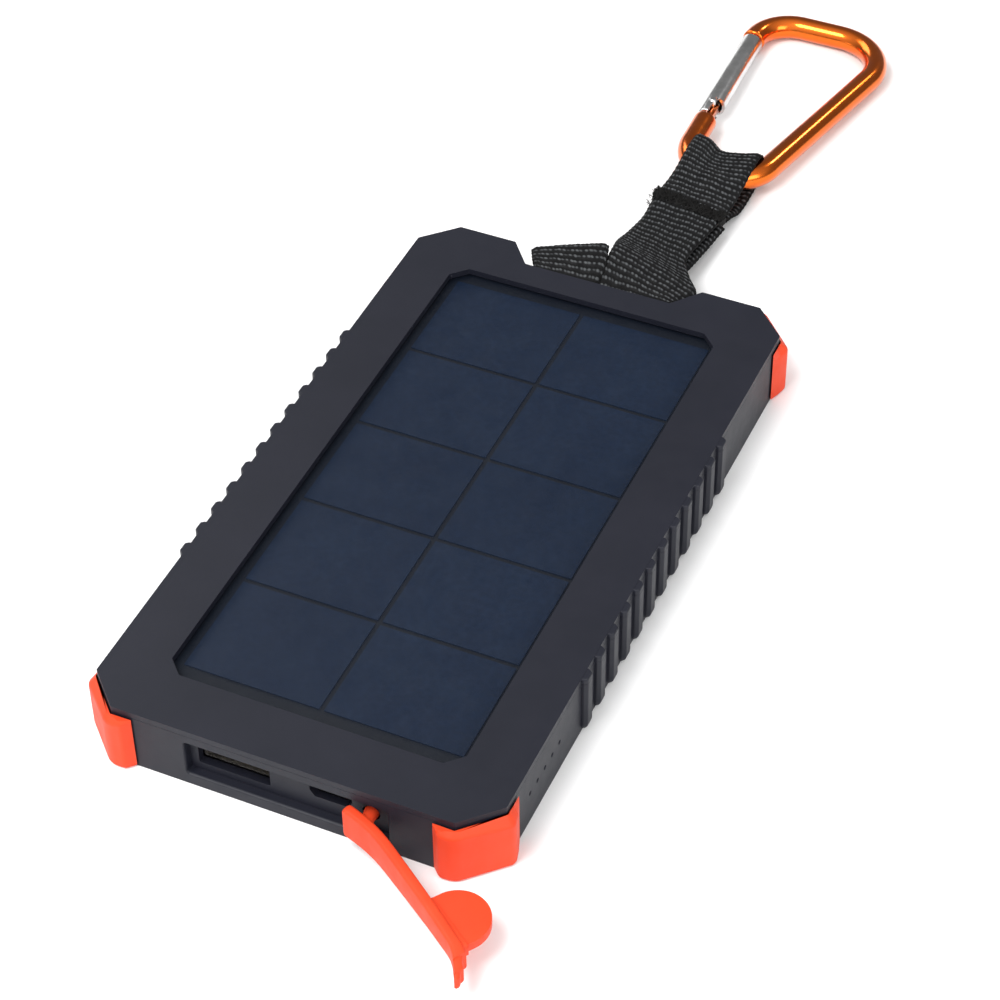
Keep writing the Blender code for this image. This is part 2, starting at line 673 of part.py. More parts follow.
def gate_side(y):
    """Point on the gate's centre line, in hook axes."""
    x0, y0, _ = HOOK_CORNERS[0]
    x1, y1, _ = HOOK_CORNERS[3]
    return (x0 + (x1 - x0) * (y - y0) / (y1 - y0), y - HOOK_AXIS_Y, 0.0)


def make_hook(bend, mats):
    """The snap hook: a bent wire body and a hollow gate that turns on a rivet."""
    hook = empty(
        "hook_swing_axis",
        (0.0, HOOK_AXIS_Y - BEND_Y, HOOK_AXIS_Z - BEND_Z),
        bend,
        (-HOOK_TILT, 0.0, 0.0),
    )
    body = wire("hook_body", hook_path(), WIRE_R, mats["orange_metal"], hook, resolution=3)
    pivot = Vector(gate_side(PIVOT_Y))
    low_end = Vector(gate_side(GATE_Y0 - 1.5))
    tang = box(
        "hook_tang",
        (pivot.x - 1.3, low_end.y, -0.8),
        (pivot.x + 1.3, pivot.y + 0.9, 0.8),
        parent=hook,
    )
    nose = Vector(gate_side(GATE_Y1))
    tongue_low = nose - Vector((1.5, 2.4, 0.7))
    tongue_high = nose + Vector((0.2, 1.5, 0.7))
    tongue = box("hook_tongue", tongue_low, tongue_high, parent=hook)
    join(body, tang, tongue)
    up = Vector((0.0, 0.0, 3.0))
    cut(body, rod("hook_rivet_hole", pivot - up, pivot + up, PIVOT_R + HOLE_SLACK, parent=hook, sides=12))
    axis = empty("gate_axis", pivot, hook)
    base = Vector(gate_side(GATE_Y0)) - pivot
    top = Vector(gate_side(GATE_Y1)) - pivot
    gate = rod("hook_gate", base, top, GATE_R, mats["silver"], axis, sides=24)
    over = (top - base).normalized()
    cut(
        gate,
        rod("gate_bore", base - over, top + over, GATE_BORE, parent=axis, sides=20),
        rod("gate_rivet_hole", -up, up, PIVOT_R + HOLE_SLACK, parent=axis, sides=12),
        box("gate_foot_slot", (0.3, base.y - 1.0, -3.0), (4.0, 1.2, 3.0), parent=axis),
        box("gate_nose_slot", (top.x - 3.0, top.y - 2.8, -1.0), (top.x + 0.5, top.y + 1.0, 1.0), parent=axis),
    )
    rivet = Vector((0.0, 0.0, GATE_R + 0.25))
    rod("gate_rivet", -rivet, rivet, PIVOT_R, mats["silver"], axis, sides=12)
    pin = top + Vector((0.85, -1.3, 0.0))
    rod("nose_pin", pin - up * 0.42, pin + up * 0.42, 0.35, mats["steel"], axis, sides=10)
    make_spring(base, top, axis, mats)


def make_spring(base, top, axis, mats):
    """The coil spring and its plunger inside the hollow gate."""
    along = (top - base).normalized()
    side = along.cross(Vector((0.0, 0.0, 1.0))).normalized()
    up = Vector((0.0, 0.0, 1.0))
    turns = 7
    steps = 10
    radius = 0.95
    points = []
    for step in range(turns * steps + 1):
        angle = 2 * math.pi * step / steps
        travel = 7.0 + 9.0 * step / (turns * steps)
        ring = side * (radius * math.cos(angle)) + up * (radius * math.sin(angle))
        points.append(along * travel + ring)
    wire("gate_spring", points, 0.2, mats["steel"], axis, resolution=1)
    rod("gate_plunger", along * 1.8, along * 6.4, 1.0, mats["steel"], axis, sides=12)


def main():
    global PARTS, CUTTERS
    clear_scene()
    PARTS = new_collection("solar_phone_charger")
    CUTTERS = new_collection("cutters")
    black = material("black_plastic", (0.028, 0.028, 0.032), 0.5)
    rubber = material("orange_rubber", (0.95, 0.12, 0.03), 0.6)
    steel = material("socket_steel", (0.65, 0.64, 0.6), 0.3, 1.0)
    webbing = material("black_webbing", (0.03, 0.032, 0.035), 0.9)
    make_tub(black)
    make_cover(black)
    make_screws(material("black_screw", (0.05, 0.05, 0.05), 0.4, 1.0))
    make_bumpers(rubber)
    make_panel(
        material("panel_black", (0.02, 0.02, 0.025), 0.5),
        material("cell_navy", (0.02, 0.035, 0.08), 0.35),
        material("clear_sheet", (0.75, 0.8, 0.85), 0.1, 0.0, 0.25),
    )
    make_sockets(
        steel,
        material("socket_plastic", (0.03, 0.03, 0.03), 0.5),
        material("gold", (0.9, 0.65, 0.2), 0.3, 1.0),
    )
    make_electronics({
        "foil": material("pouch_foil", (0.6, 0.6, 0.62), 0.35, 0.9),
        "foam": material("black_foam", (0.04, 0.04, 0.04), 0.95),
        "board": material("green_board", (0.03, 0.2, 0.08), 0.5),
        "chip": material("chip_black", (0.03, 0.03, 0.03), 0.5),
        "ferrite": material("ferrite_grey", (0.15, 0.15, 0.16), 0.6),
        "led": material("led_white", (0.9, 0.9, 0.85), 0.3),
        "red": material("lead_red", (0.7, 0.03, 0.03), 0.5),
        "black": material("lead_black", (0.02, 0.02, 0.02), 0.5),
    })
    make_port_cover(rubber)
    bend = make_strap({
        "plastic": material("bar_black", (0.03, 0.03, 0.03), 0.5),
        "web": webbing,
        "thread": material("tack_thread", (0.03, 0.027, 0.024), 0.95),
    })
    make_hook(bend, {
        "orange_metal": material("orange_anodised", (0.95, 0.28, 0.02), 0.22, 1.0),
        "silver": material("gate_silver", (0.8, 0.8, 0.8), 0.3, 1.0),
        "steel": steel,
    })


main()
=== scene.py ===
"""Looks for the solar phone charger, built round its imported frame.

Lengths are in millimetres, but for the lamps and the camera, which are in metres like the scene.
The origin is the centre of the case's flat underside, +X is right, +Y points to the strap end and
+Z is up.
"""

import math
import random

import bmesh
import bpy
import numpy as np
from mathutils import Matrix, Vector


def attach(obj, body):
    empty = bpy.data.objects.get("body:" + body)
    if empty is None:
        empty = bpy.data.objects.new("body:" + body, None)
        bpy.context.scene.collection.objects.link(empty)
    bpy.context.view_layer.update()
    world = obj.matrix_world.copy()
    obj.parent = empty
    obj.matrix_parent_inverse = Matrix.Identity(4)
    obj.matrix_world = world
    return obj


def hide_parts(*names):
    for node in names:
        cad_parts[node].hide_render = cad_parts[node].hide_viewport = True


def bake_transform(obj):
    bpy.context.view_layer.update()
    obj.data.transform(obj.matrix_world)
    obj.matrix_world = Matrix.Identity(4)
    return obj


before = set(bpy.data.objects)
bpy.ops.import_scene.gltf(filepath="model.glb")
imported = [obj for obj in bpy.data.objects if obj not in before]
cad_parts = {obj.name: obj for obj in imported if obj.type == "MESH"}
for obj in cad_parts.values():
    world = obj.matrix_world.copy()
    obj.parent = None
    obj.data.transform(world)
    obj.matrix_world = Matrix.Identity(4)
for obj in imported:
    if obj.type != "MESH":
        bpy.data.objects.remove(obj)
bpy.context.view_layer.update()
MM = 0.001

# ---- case sizes, as in the frame
SIDE, FRONT, BACK, CORNER = 37.5, -69.0, 69.0, 6.3
TUB_TOP, COVER_LOW, CASE_H = 11.72, 11.78, 13.0
NOTCH_OUTER, NOTCH_INNER, NOTCH_Y = 19.5, 15.0, 63.5
BAR_Y, BAR_Z, BAR_R = 66.8, 6.5, 1.6
RIB_COUNT, RIB_PITCH = 12, 5.65
WINDOW = (-27.14, 27.14, -58.3, 57.8, 2.9)
RECESS = (-17.9, 19.2, 2.4, 9.9)
RECESS_Y = FRONT + 1.8
WALL_INSIDE = FRONT + 3.2
USB = (-9.72, 6.92, 13.25, 5.55)
MICRO = (8.08, 6.55, 7.65, 2.1)
LED_Y = (-41.6, -44.6, -47.6, -50.6, -53.6)
SCREWS = ((-31.5, -59.5), (31.5, -59.5), (-31.5, 60.0), (31.5, 60.0))

# ---- port cover, in its turned-out place
PEG = Vector((15.4, -69.1, 6.1))
SHORT_END = 3.0
LIFT_AT = PEG - Vector((SHORT_END, 0.0, 0.0))
LIFT, FLEX = math.radians(18.0), math.radians(17.0)
ROOT_LENGTH, COVER_T = 6.0, 1.9
PLUG_R, PLUG_REACH, PLUG_SHIFT = 5.4, 7.6, 0.6

# ---- strap and snap hook
WEB_T, WEAVE_DEPTH = 1.25, 0.28
RIB_STEP, FLOAT_STEP = 1.40, 0.80   # along and across the tape
WIRE_R = 2.48
HOOK_AXIS = Vector((0.0, 114.87, 4.29))
HOOK_TILT = math.atan2(1.59, 58.77)
HOOK_CORNERS = (
    (-3.4, 114.87, 9.19), (12.43, 114.87, 8.61), (25.14, 173.64, 11.18), (-5.9, 173.64, 8.5),
)
PIVOT_Y, GATE_Y0, GATE_Y1, GATE_R, GATE_BORE = 137.0, 133.0, 163.9, 2.35, 1.75


# ---- node materials
def nodes_of(name):
    """A new node material, its shader and the place it reads its patterns from."""
    mat = bpy.data.materials.new(name)
    mat.use_nodes = True
    tree = mat.node_tree
    shader = tree.nodes["Principled BSDF"]
    place = tree.nodes.new("ShaderNodeTexCoord").outputs["Object"]
    return mat, tree, shader, place


def noise(tree, place, scale, detail=3.0, rough=0.55):
    node = tree.nodes.new("ShaderNodeTexNoise")
    node.inputs["Scale"].default_value = scale
    node.inputs["Detail"].default_value = detail
    node.inputs["Roughness"].default_value = rough
    tree.links.new(place, node.inputs["Vector"])
    return node.outputs["Fac"]


def ramp(tree, value, stops):
    """Colours along a value, given as (position, colour) stops."""
    node = tree.nodes.new("ShaderNodeValToRGB")
    points = node.color_ramp.elements
    while len(points) < len(stops):
        points.new(0.5)
    for point, (at, colour) in zip(points, stops):
        point.position = at
        point.color = (*colour, 1.0)
    tree.links.new(value, node.inputs["Fac"])
    return node.outputs["Color"]


def spread(tree, value, low, high, start=0.3, end=0.7):
    node = tree.nodes.new("ShaderNodeMapRange")
    node.inputs["From Min"].default_value = start
    node.inputs["From Max"].default_value = end
    node.inputs["To Min"].default_value = low
    node.inputs["To Max"].default_value = high
    tree.links.new(value, node.inputs["Value"])
    return node.outputs["Result"]


def bump(tree, value, shader, depth):
    node = tree.nodes.new("ShaderNodeBump")
    node.inputs["Strength"].default_value = 1.0
    node.inputs["Distance"].default_value = depth * MM
    tree.links.new(value, node.inputs["Height"])
    tree.links.new(node.outputs["Normal"], shader.inputs["Normal"])


def wire_up(tree, shader, place, colour, patch, rough, grain, depth, detail=2.0):
    """Gives the shader a colour, a roughness that drifts in patches and a fine raised grain."""
    tree.links.new(colour, shader.inputs["Base Color"])
    tree.links.new(spread(tree, noise(tree, place, patch), *rough), shader.inputs["Roughness"])
    bump(tree, noise(tree, place, grain, detail), shader, depth)


def surface(name, dark, light, rough, grain, depth, metallic=0.0, patch=60.0, **constants):
    """A material whose colour and roughness drift over the piece, with a fine raised grain."""
    mat, tree, shader, place = nodes_of(name)
    colour = ramp(tree, noise(tree, place, patch, 5.0), ((0.3, dark), (0.7, light)))
    wire_up(tree, shader, place, colour, patch * 5.3, rough, grain, depth)
    shader.inputs["Metallic"].default_value = metallic
    for socket, value in constants.items():
        shader.inputs[socket.replace("_", " ")].default_value = value
    return mat


def grey(value):
    return (value, value, value)


def make_materials():
    """Every material, by a short name."""
    m = {}
    m["case"] = surface(
        "satin_black", (0.0072, 0.0082, 0.0146), (0.0098, 0.0106, 0.0182), (0.46, 0.52), 5200.0, 0.010,
        Specular_IOR_Level=0.30,
    )
    m["rubber"] = surface(
        "orange_rubber", (0.66, 0.048, 0.012), (0.73, 0.059, 0.017), (0.46, 0.58), 3400.0, 0.008,
        Specular_IOR_Level=0.22,
        Subsurface_Weight=0.06, Subsurface_Scale=0.002,
    )
    m["orange"] = surface(
        "orange_anodised", (0.68, 0.128, 0.009), (0.78, 0.160, 0.013), (0.15, 0.22), 2600.0, 0.003,
        metallic=1.0, patch=120.0, Coat_Weight=0.25, Coat_Roughness=0.08,
    )
    m["silver"] = surface(
        "gate_silver", grey(0.62), grey(0.84), (0.15, 0.26), 3000.0, 0.001, metallic=1.0, patch=160.0
    )
    m["steel"] = surface(
        "socket_steel", (0.36, 0.34, 0.32), (0.48, 0.46, 0.43), (0.26, 0.38), 2500.0, 0.003,
        metallic=1.0, patch=200.0,
    )
    m["plastic"] = surface("socket_plastic", grey(0.016), grey(0.026), (0.40, 0.55), 2500.0, 0.006)
    # gold darkened as painted shade, for the contacts deep inside the socket
    m["gold"] = surface(
        "shade_darkened_gold", (0.22, 0.13, 0.04), (0.30, 0.19, 0.06), (0.34, 0.44), 2500.0, 0.001,
        metallic=1.0, patch=200.0,
    )
    m["screw"] = surface(
        "black_screw", grey(0.03), grey(0.07), (0.30, 0.48), 2200.0, 0.006, metallic=0.9, patch=200.0
    )
    m["foil"] = surface(
        "pouch_foil", grey(0.42), grey(0.60), (0.28, 0.48), 700.0, 0.03, metallic=0.9, patch=40.0
    )
    m["foam"] = surface("black_foam", grey(0.015), grey(0.04), (0.85, 0.95), 1200.0, 0.08)
    m["board"] = surface(
        "green_board", (0.01, 0.10, 0.04), (0.02, 0.17, 0.07), (0.30, 0.45), 900.0, 0.010
    )
    m["chip"] = surface("chip_black", grey(0.018), grey(0.030), (0.45, 0.6), 3000.0, 0.006)
    m["ferrite"] = surface("ferrite_grey", grey(0.10), grey(0.17), (0.5, 0.7), 2000.0, 0.012)
    m["led"] = surface("led_white", (0.70, 0.70, 0.62), (0.85, 0.85, 0.78), (0.25, 0.4), 2500.0, 0.004)
    m["red"] = surface("lead_red", (0.50, 0.015, 0.015), (0.66, 0.03, 0.03), (0.35, 0.5), 1500.0, 0.008)
    m["black"] = surface("lead_black", grey(0.012), grey(0.024), (0.35, 0.5), 1500.0, 0.008)
    m["panel"] = surface(
        "panel_black", (0.0050, 0.0052, 0.0062), (0.0085, 0.0082, 0.0085), (0.5, 0.65), 1800.0, 0.006,
        Specular_IOR_Level=0.22,
    )
    m["cell"] = make_cell()
    m["sheet"] = make_sheet()
    # the webbing's valley colour is painted shade and its crest colour a painted highlight
    m["web"] = make_webbing(
        "black_webbing", (0.0006, 0.0006, 0.0008), (0.0036, 0.0038, 0.0045), (0.082, 0.087, 0.091)
    )
    m["tack"] = make_webbing(
        "tack_thread", (0.0014, 0.0012, 0.0011), (0.0030, 0.0026, 0.0023), (0.012, 0.010, 0.009)
    )
    return m


def make_cell():
    """Polycrystalline blue: soft patches, crystal grain and a fine pebbled finish."""
    mat, tree, shader, place = nodes_of("cell_navy")
    crystal = tree.nodes.new("ShaderNodeTexVoronoi")
    crystal.inputs["Scale"].default_value = 900.0
    tree.links.new(place, crystal.inputs["Vector"])
    mix = tree.nodes.new("ShaderNodeMix")
    mix.inputs["Factor"].default_value = 0.42
    tree.links.new(noise(tree, place, 28.0, 6.0), mix.inputs[2])
    tree.links.new(crystal.outputs["Distance"], mix.inputs[3])
    colours = (
        (0.15, (0.0022, 0.0072, 0.0200)),
        (0.55, (0.0042, 0.0108, 0.0285)),
        (0.85, (0.0074, 0.0165, 0.0395)),
    )
    wire_up(tree, shader, place, ramp(tree, mix.outputs[0], colours), 300.0, (0.34, 0.50), 2600.0, 0.010)
    shader.inputs["Specular IOR Level"].default_value = 0.26
    return mat


def make_sheet():
    """Clear laminate with a pebbled top: mostly seen through, with a soft sheen."""
    mat, tree, shader, place = nodes_of("clear_sheet")
    out = tree.nodes["Material Output"]
    clear = tree.nodes.new("ShaderNodeBsdfTransparent")
    mix = tree.nodes.new("ShaderNodeMixShader")
    tint = ramp(tree, noise(tree, place, 90.0), ((0.3, (0.012, 0.020, 0.040)), (0.7, (0.018, 0.030, 0.055))))
    wire_up(tree, shader, place, tint, 1500.0, (0.30, 0.42), 3500.0, 0.006, 3.0)
    shader.inputs["Specular IOR Level"].default_value = 0.4
    mix.inputs["Fac"].default_value = 0.12
    tree.links.new(clear.outputs[0], mix.inputs[1])
    tree.links.new(shader.outputs[0], mix.inputs[2])
    tree.links.new(mix.outputs[0], out.inputs["Surface"])
    return mat


def make_webbing(name, valley, body, crest):
    """Woven tape coloured from its weave's relief: painted shade between the ribs and a painted highlight on
    the tops of the yarns.
    """
    mat, tree, shader, place = nodes_of(name)
    relief = tree.nodes.new("ShaderNodeAttribute")
    relief.attribute_name = "relief"
    fuzz = noise(tree, place, 2200.0, 4.0, 0.7)
    mix = tree.nodes.new("ShaderNodeMix")
    mix.inputs["Factor"].default_value = 0.16
    tree.links.new(relief.outputs["Fac"], mix.inputs[2])
    tree.links.new(fuzz, mix.inputs[3])
    # painted light: valley is painted shade in the weave's hollows and crest a painted highlight on the yarn
    # tops, placed by the relief
    colours = ((0.40, valley), (0.72, body), (0.94, crest))
    wire_up(tree, shader, place, ramp(tree, mix.outputs[0], colours), 400.0, (0.62, 0.85), 7000.0, 0.03)
    shader.inputs["Specular IOR Level"].default_value = 0.20
    return mat


# ---- geometry helpers
def placed(name, data):
    """A new object that holds the data, linked to the scene."""
    thing = bpy.data.objects.new(name, data)
    bpy.context.scene.collection.objects.link(thing)
    return thing


def baked(shape, name):
    """The bmesh as a new mesh; the bmesh is used up."""
    mesh = bpy.data.meshes.new(name)
    shape.to_mesh(mesh)
    shape.free()
    return mesh


def new_object(name, mesh, mat):
    thing = placed(name, mesh)
    mesh.materials.clear()
    if mat is not None:
        mesh.materials.append(mat)
    return thing


def smooth(thing, degrees=35.0):
    thing.data.shade_smooth()
    thing.data.set_sharp_from_angle(angle=math.radians(degrees))
    return thing


def from_arrays(name, points, faces, mat, degrees=180.0):
    mesh = bpy.data.meshes.new(name)
    mesh.from_pydata((np.asarray(points, float) * MM).tolist(), [], faces)
    shape = bmesh.new()
    shape.from_mesh(mesh)
    bmesh.ops.recalc_face_normals(shape, faces=shape.faces)
    shape.to_mesh(mesh)
    shape.free()
    return smooth(new_object(name, mesh, mat), degrees)


def arc(centre, radius, start, end, steps):
    angles = np.radians(np.linspace(start, end, steps + 1))
    return [(centre[0] + radius * math.cos(a), centre[1] + radius * math.sin(a)) for a in angles]


def chamfered(x0, x1, y0, y1, corner):
    return [
        (x0 + corner, y0), (x1 - corner, y0), (x1, y0 + corner), (x1, y1 - corner),
        (x1 - corner, y1), (x0 + corner, y1), (x0, y1 - corner), (x0, y0 + corner),
    ]


def fillet(corners, steps=8):
    """A closed outline through (x, y, radius) corners, each rounded by an arc."""
    points = []
    for index, (x, y, radius) in enumerate(corners):
        here = Vector((x, y))
        before = (Vector(corners[index - 1][:2]) - here).normalized()
        after = (Vector(corners[(index + 1) % len(corners)][:2]) - here).normalized()
        half = before.angle(after) / 2
        centre = here + (before + after).normalized() * (radius / math.sin(half))
        first = here + before * (radius / math.tan(half)) - centre
        last = here + after * (radius / math.tan(half)) - centre
        start = math.atan2(first.y, first.x)
        turn = (math.atan2(last.y, last.x) - start + math.pi) % (2 * math.pi) - math.pi
        points += arc(centre, radius, math.degrees(start), math.degrees(start + turn), steps)
    return points


def rounded(outline, radius, steps=4):
    return fillet([(x, y, radius) for x, y in outline], steps)


def rectangle(x0, x1, y0, y1):
    return [(x0, y0), (x1, y0), (x1, y1), (x0, y1)]


def prism(name, outlines, low, high, mat=None, axis="Z"):
    """Flat outlines, the first with the rest as holes, made solid from low to high along the axis."""
    curve = bpy.data.curves.new(name, "CURVE")
    curve.dimensions = "2D"
    curve.fill_mode = "BOTH"
    curve.extrude = (high - low) / 2 * MM
    for outline in outlines:
        spline = curve.splines.new("POLY")
        spline.points.add(len(outline) - 1)
        for point, (u, v) in zip(spline.points, outline):
            point.co = (u * MM, v * MM, 0.0, 1.0)
        spline.use_cyclic_u = True
    holder = placed(name + "_curve", curve)
    bpy.context.view_layer.update()
    mesh = bpy.data.meshes.new_from_object(holder.evaluated_get(bpy.context.evaluated_depsgraph_get()))
    bpy.data.objects.remove(holder)
    shape = bmesh.new()
    shape.from_mesh(mesh)
    bmesh.ops.remove_doubles(shape, verts=shape.verts, dist=0.000002)
    bmesh.ops.recalc_face_normals(shape, faces=shape.faces)
    shape.to_mesh(mesh)
    shape.free()
    middle = (low + high) / 2 * MM
    turns = {
        "Z": Matrix.Identity(4),
        "X": Matrix(((0, 0, 1, 0), (1, 0, 0, 0), (0, 1, 0, 0), (0, 0, 0, 1))),
        "Y": Matrix(((1, 0, 0, 0), (0, 0, -1, 0), (0, 1, 0, 0), (0, 0, 0, 1))),
    }
    shift = {"Z": (0, 0, middle), "X": (middle, 0, 0), "Y": (0, middle, 0)}
    mesh.transform(Matrix.Translation(shift[axis]) @ turns[axis])
    return new_object(name, mesh, mat)


def box(name, low, high, mat=None, radius=0.0):
    thing = prism(name, [rectangle(low[0], high[0], low[1], high[1])], low[2], high[2], mat)
    if radius:
        round_edges(thing, radius)
    return thing


def rod(name, start, end, radius, mat=None, sides=32, radius_end=None, rim=0.0):
    """A round bar between two points, or a cone when radius_end is given, with softened rims."""
    start, end = Vector(start), Vector(end)
    along = end - start
    turn = along.to_track_quat("Z", "Y").to_matrix().to_4x4()
    shape = bmesh.new()
    bmesh.ops.create_cone(
        shape,
        cap_ends=True,
        segments=sides,
        radius1=radius * MM,
        radius2=(radius if radius_end is None else radius_end) * MM,
        depth=along.length * MM,
        matrix=Matrix.Translation((start + end) / 2 * MM) @ turn,
    )
    thing = smooth(new_object(name, baked(shape, name), mat))
    if rim:
        round_edges(thing, rim, 3, 60.0)
    return thing


def apply_all(thing):
    """Bakes the modifiers into the mesh."""
    bpy.context.view_layer.update()
    evaluated = thing.evaluated_get(bpy.context.evaluated_depsgraph_get())
    mesh = bpy.data.meshes.new_from_object(evaluated)
    thing.modifiers.clear()
    thing.data = mesh
    return thing


def round_edges(thing, width, segments=3, angle=30.0):
    bevel = thing.modifiers.new("rounded_edges", "BEVEL")
    bevel.width = width * MM
    bevel.segments = segments
    bevel.limit_method = "ANGLE"
    bevel.angle_limit = math.radians(angle)
    bevel.use_clamp_overlap = True
    return smooth(apply_all(thing))


def combine(thing, others, operation):
    """Adds or takes away other solids, which are used up."""
    for other in others:
        modifier = thing.modifiers.new("shape", "BOOLEAN")
        modifier.operation = operation
        modifier.solver = "EXACT"
        modifier.object = other
        apply_all(thing)
        bpy.data.objects.remove(other)
    return smooth(thing)


def cut(thing, *others):
    return combine(thing, others, "DIFFERENCE")


def join(thing, *others):
    return combine(thing, others, "UNION")


def gather(name, things):
    """Several meshes as one object, left as separate shells."""
    shape = bmesh.new()
    materials = []
    for thing in things:
        offset = len(materials)
        materials += list(thing.data.materials)
        count = len(shape.faces)
        shape.from_mesh(thing.data)
        shape.faces.ensure_lookup_table()
        for face in shape.faces[count:]:
            face.material_index += offset
        bpy.data.objects.remove(thing)
    mesh = baked(shape, name)
    thing = placed(name, mesh)
    for mat in materials:
        mesh.materials.append(mat)
    return smooth(thing)


def tube(name, points, radius, mat, sides=32, caps=True):
    """A round wire along points; radius is one number or one for each point."""
    points = np.asarray(points, float)
    radii = np.broadcast_to(np.asarray(radius, float), (len(points),))
    ahead = np.gradient(points, axis=0)
    ahead /= np.linalg.norm(ahead, axis=1)[:, None]
    side = np.cross(ahead[0], (0.0, 0.0, 1.0) if abs(ahead[0][2]) < 0.9 else (1.0, 0.0, 0.0))
    rings = []
    for place, along, r in zip(points, ahead, radii):
        side = side - along * (side @ along)
        side /= np.linalg.norm(side)
        up = np.cross(side, along)
        angles = np.linspace(0.0, 2 * math.pi, sides, endpoint=False)[:, None]
        rings.append(place + r * (np.cos(angles) * side + np.sin(angles) * up))
    return loft(name, rings, mat, caps)


def even_normals(thing):
    """Weights the smooth normals by face area, so that the big flat faces stay flat next to soft edges."""
    weighted = thing.modifiers.new("even_normals", "WEIGHTED_NORMAL")
    weighted.keep_sharp = True
    weighted.weight = 80
    return apply_all(thing)


def loft(name, rings, mat, caps=True, degrees=40.0):
    """Skins rings of equal length, each a closed loop."""
    count, size = len(rings), len(rings[0])
    faces = []
    for i in range(count - 1):
        for j in range(size):
            k = (j + 1) % size
            faces.append((i * size + j, i * size + k, (i + 1) * size + k, (i + 1) * size + j))
    if caps:
        faces.append(tuple(range(size))[::-1])
        faces.append(tuple(range((count - 1) * size, count * size)))
    return from_arrays(name, np.concatenate(rings), faces, mat, degrees)


def finish_piece(thing, body, slot, *nodes):
    """Puts a piece on its body and takes the place of the nodes it replaces; the slot is not used."""
    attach(thing, body)
    if nodes:
        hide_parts(*nodes)
    return thing


# ---- case
LED_Z, LED_R = 6.7, 0.38
TRIM = 0.8                     # the shells are made this much too deep, then cut flat at the seam
RIB_PLAN = ((-0.9, -1.55), (0.45, -1.38), (1.1, -0.92), (1.1, 0.92), (0.45, 1.38), (-0.9, 1.55))
TUB_RIB = (
    (0.42, 0.20), (0.50, 0.42), (0.72, 0.66), (1.10, 0.85), (1.55, 0.96), (2.00, 1.0), (12.20, 1.0),
)
COVER_RIB = ((11.30, 1.0), (12.45, 1.0), (12.70, 0.96), (12.86, 0.86), (12.95, 0.68))


def case_outline():
    """The case's plan: chamfered corners and the strap's notch in the back end."""
    outline = chamfered(-SIDE, SIDE, FRONT, BACK, CORNER)
    notch = [(NOTCH_OUTER, BACK), (NOTCH_INNER, NOTCH_Y), (-NOTCH_INNER, NOTCH_Y), (-NOTCH_OUTER, BACK)]
    return outline[:5] + notch + outline[5:]


def grown(outline, amount):
    """The outline moved outwards, or inwards for a negative amount, each side by the same distance."""
    moved = []
    for index, here in enumerate(outline):
        here = Vector(here)
        before = (here - Vector(outline[index - 1])).normalized()
        after = (Vector(outline[(index + 1) % len(outline)]) - here).normalized()
        out_before = Vector((before.y, -before.x))
        out_after = Vector((after.y, -after.x))
        middle = (out_before + out_after).normalized()
        moved.append(tuple(here + middle * (amount / max(middle.dot(out_after), 0.3))))
    return moved


def make_cover(m):
    """The top plate: softened edges, a stepped window frame and the four screw bosses under it."""
    window = rounded(chamfered(*WINDOW), 0.5, 3)
    outline = rounded(case_outline(), 0.45, 3)
    plate = prism("cover_plate", [outline, window], COVER_LOW - TRIM, CASE_H, m["case"])
    round_edges(plate, 0.42, 4, 50.0)
    add_ribs(plate, COVER_RIB, m["case"])
    cut(plate, box("trim", (-50.0, -80.0, 9.0), (50.0, 80.0, COVER_LOW)))
    bosses = [
        rod("boss", (x, y, 1.9), (x, y, COVER_LOW + 0.1), 2.0, m["case"], rim=0.2)
        for x, y in SCREWS
    ]
    lip_outer = rounded(chamfered(-28.4, 28.4, -59.6, 59.1, 3.3), 0.6, 3)
    lip_inner = rounded(chamfered(-27.7, 27.7, -58.9, 58.4, 3.0), 0.5, 3)
    lip = prism("lip", [lip_outer, lip_inner], COVER_LOW - 0.2, COVER_LOW + 0.1, m["case"])
    cover = even_normals(gather("case_top", [plate, lip, *bosses]))
    finish_piece(cover, "case", "black_plastic", "top_cover")


def add_ribs(shell, levels, mat):
    """Joins the grip ribs to a shell: upright bars with rounded corners, given as (height, share) levels."""
    plan = rounded(RIB_PLAN, 0.35, 4)
    for side in (-1, 1):
        for index in range(RIB_COUNT):
            y = (index - (RIB_COUNT - 1) / 2) * RIB_PITCH
            rings = []
            for z, share in levels:
                width = 0.6 + 0.4 * share
                rings.append([
                    (side * (SIDE + min(out, out * share)), y + along * width, z) for out, along in plan
                ])
            join(shell, loft("rib", rings, mat))


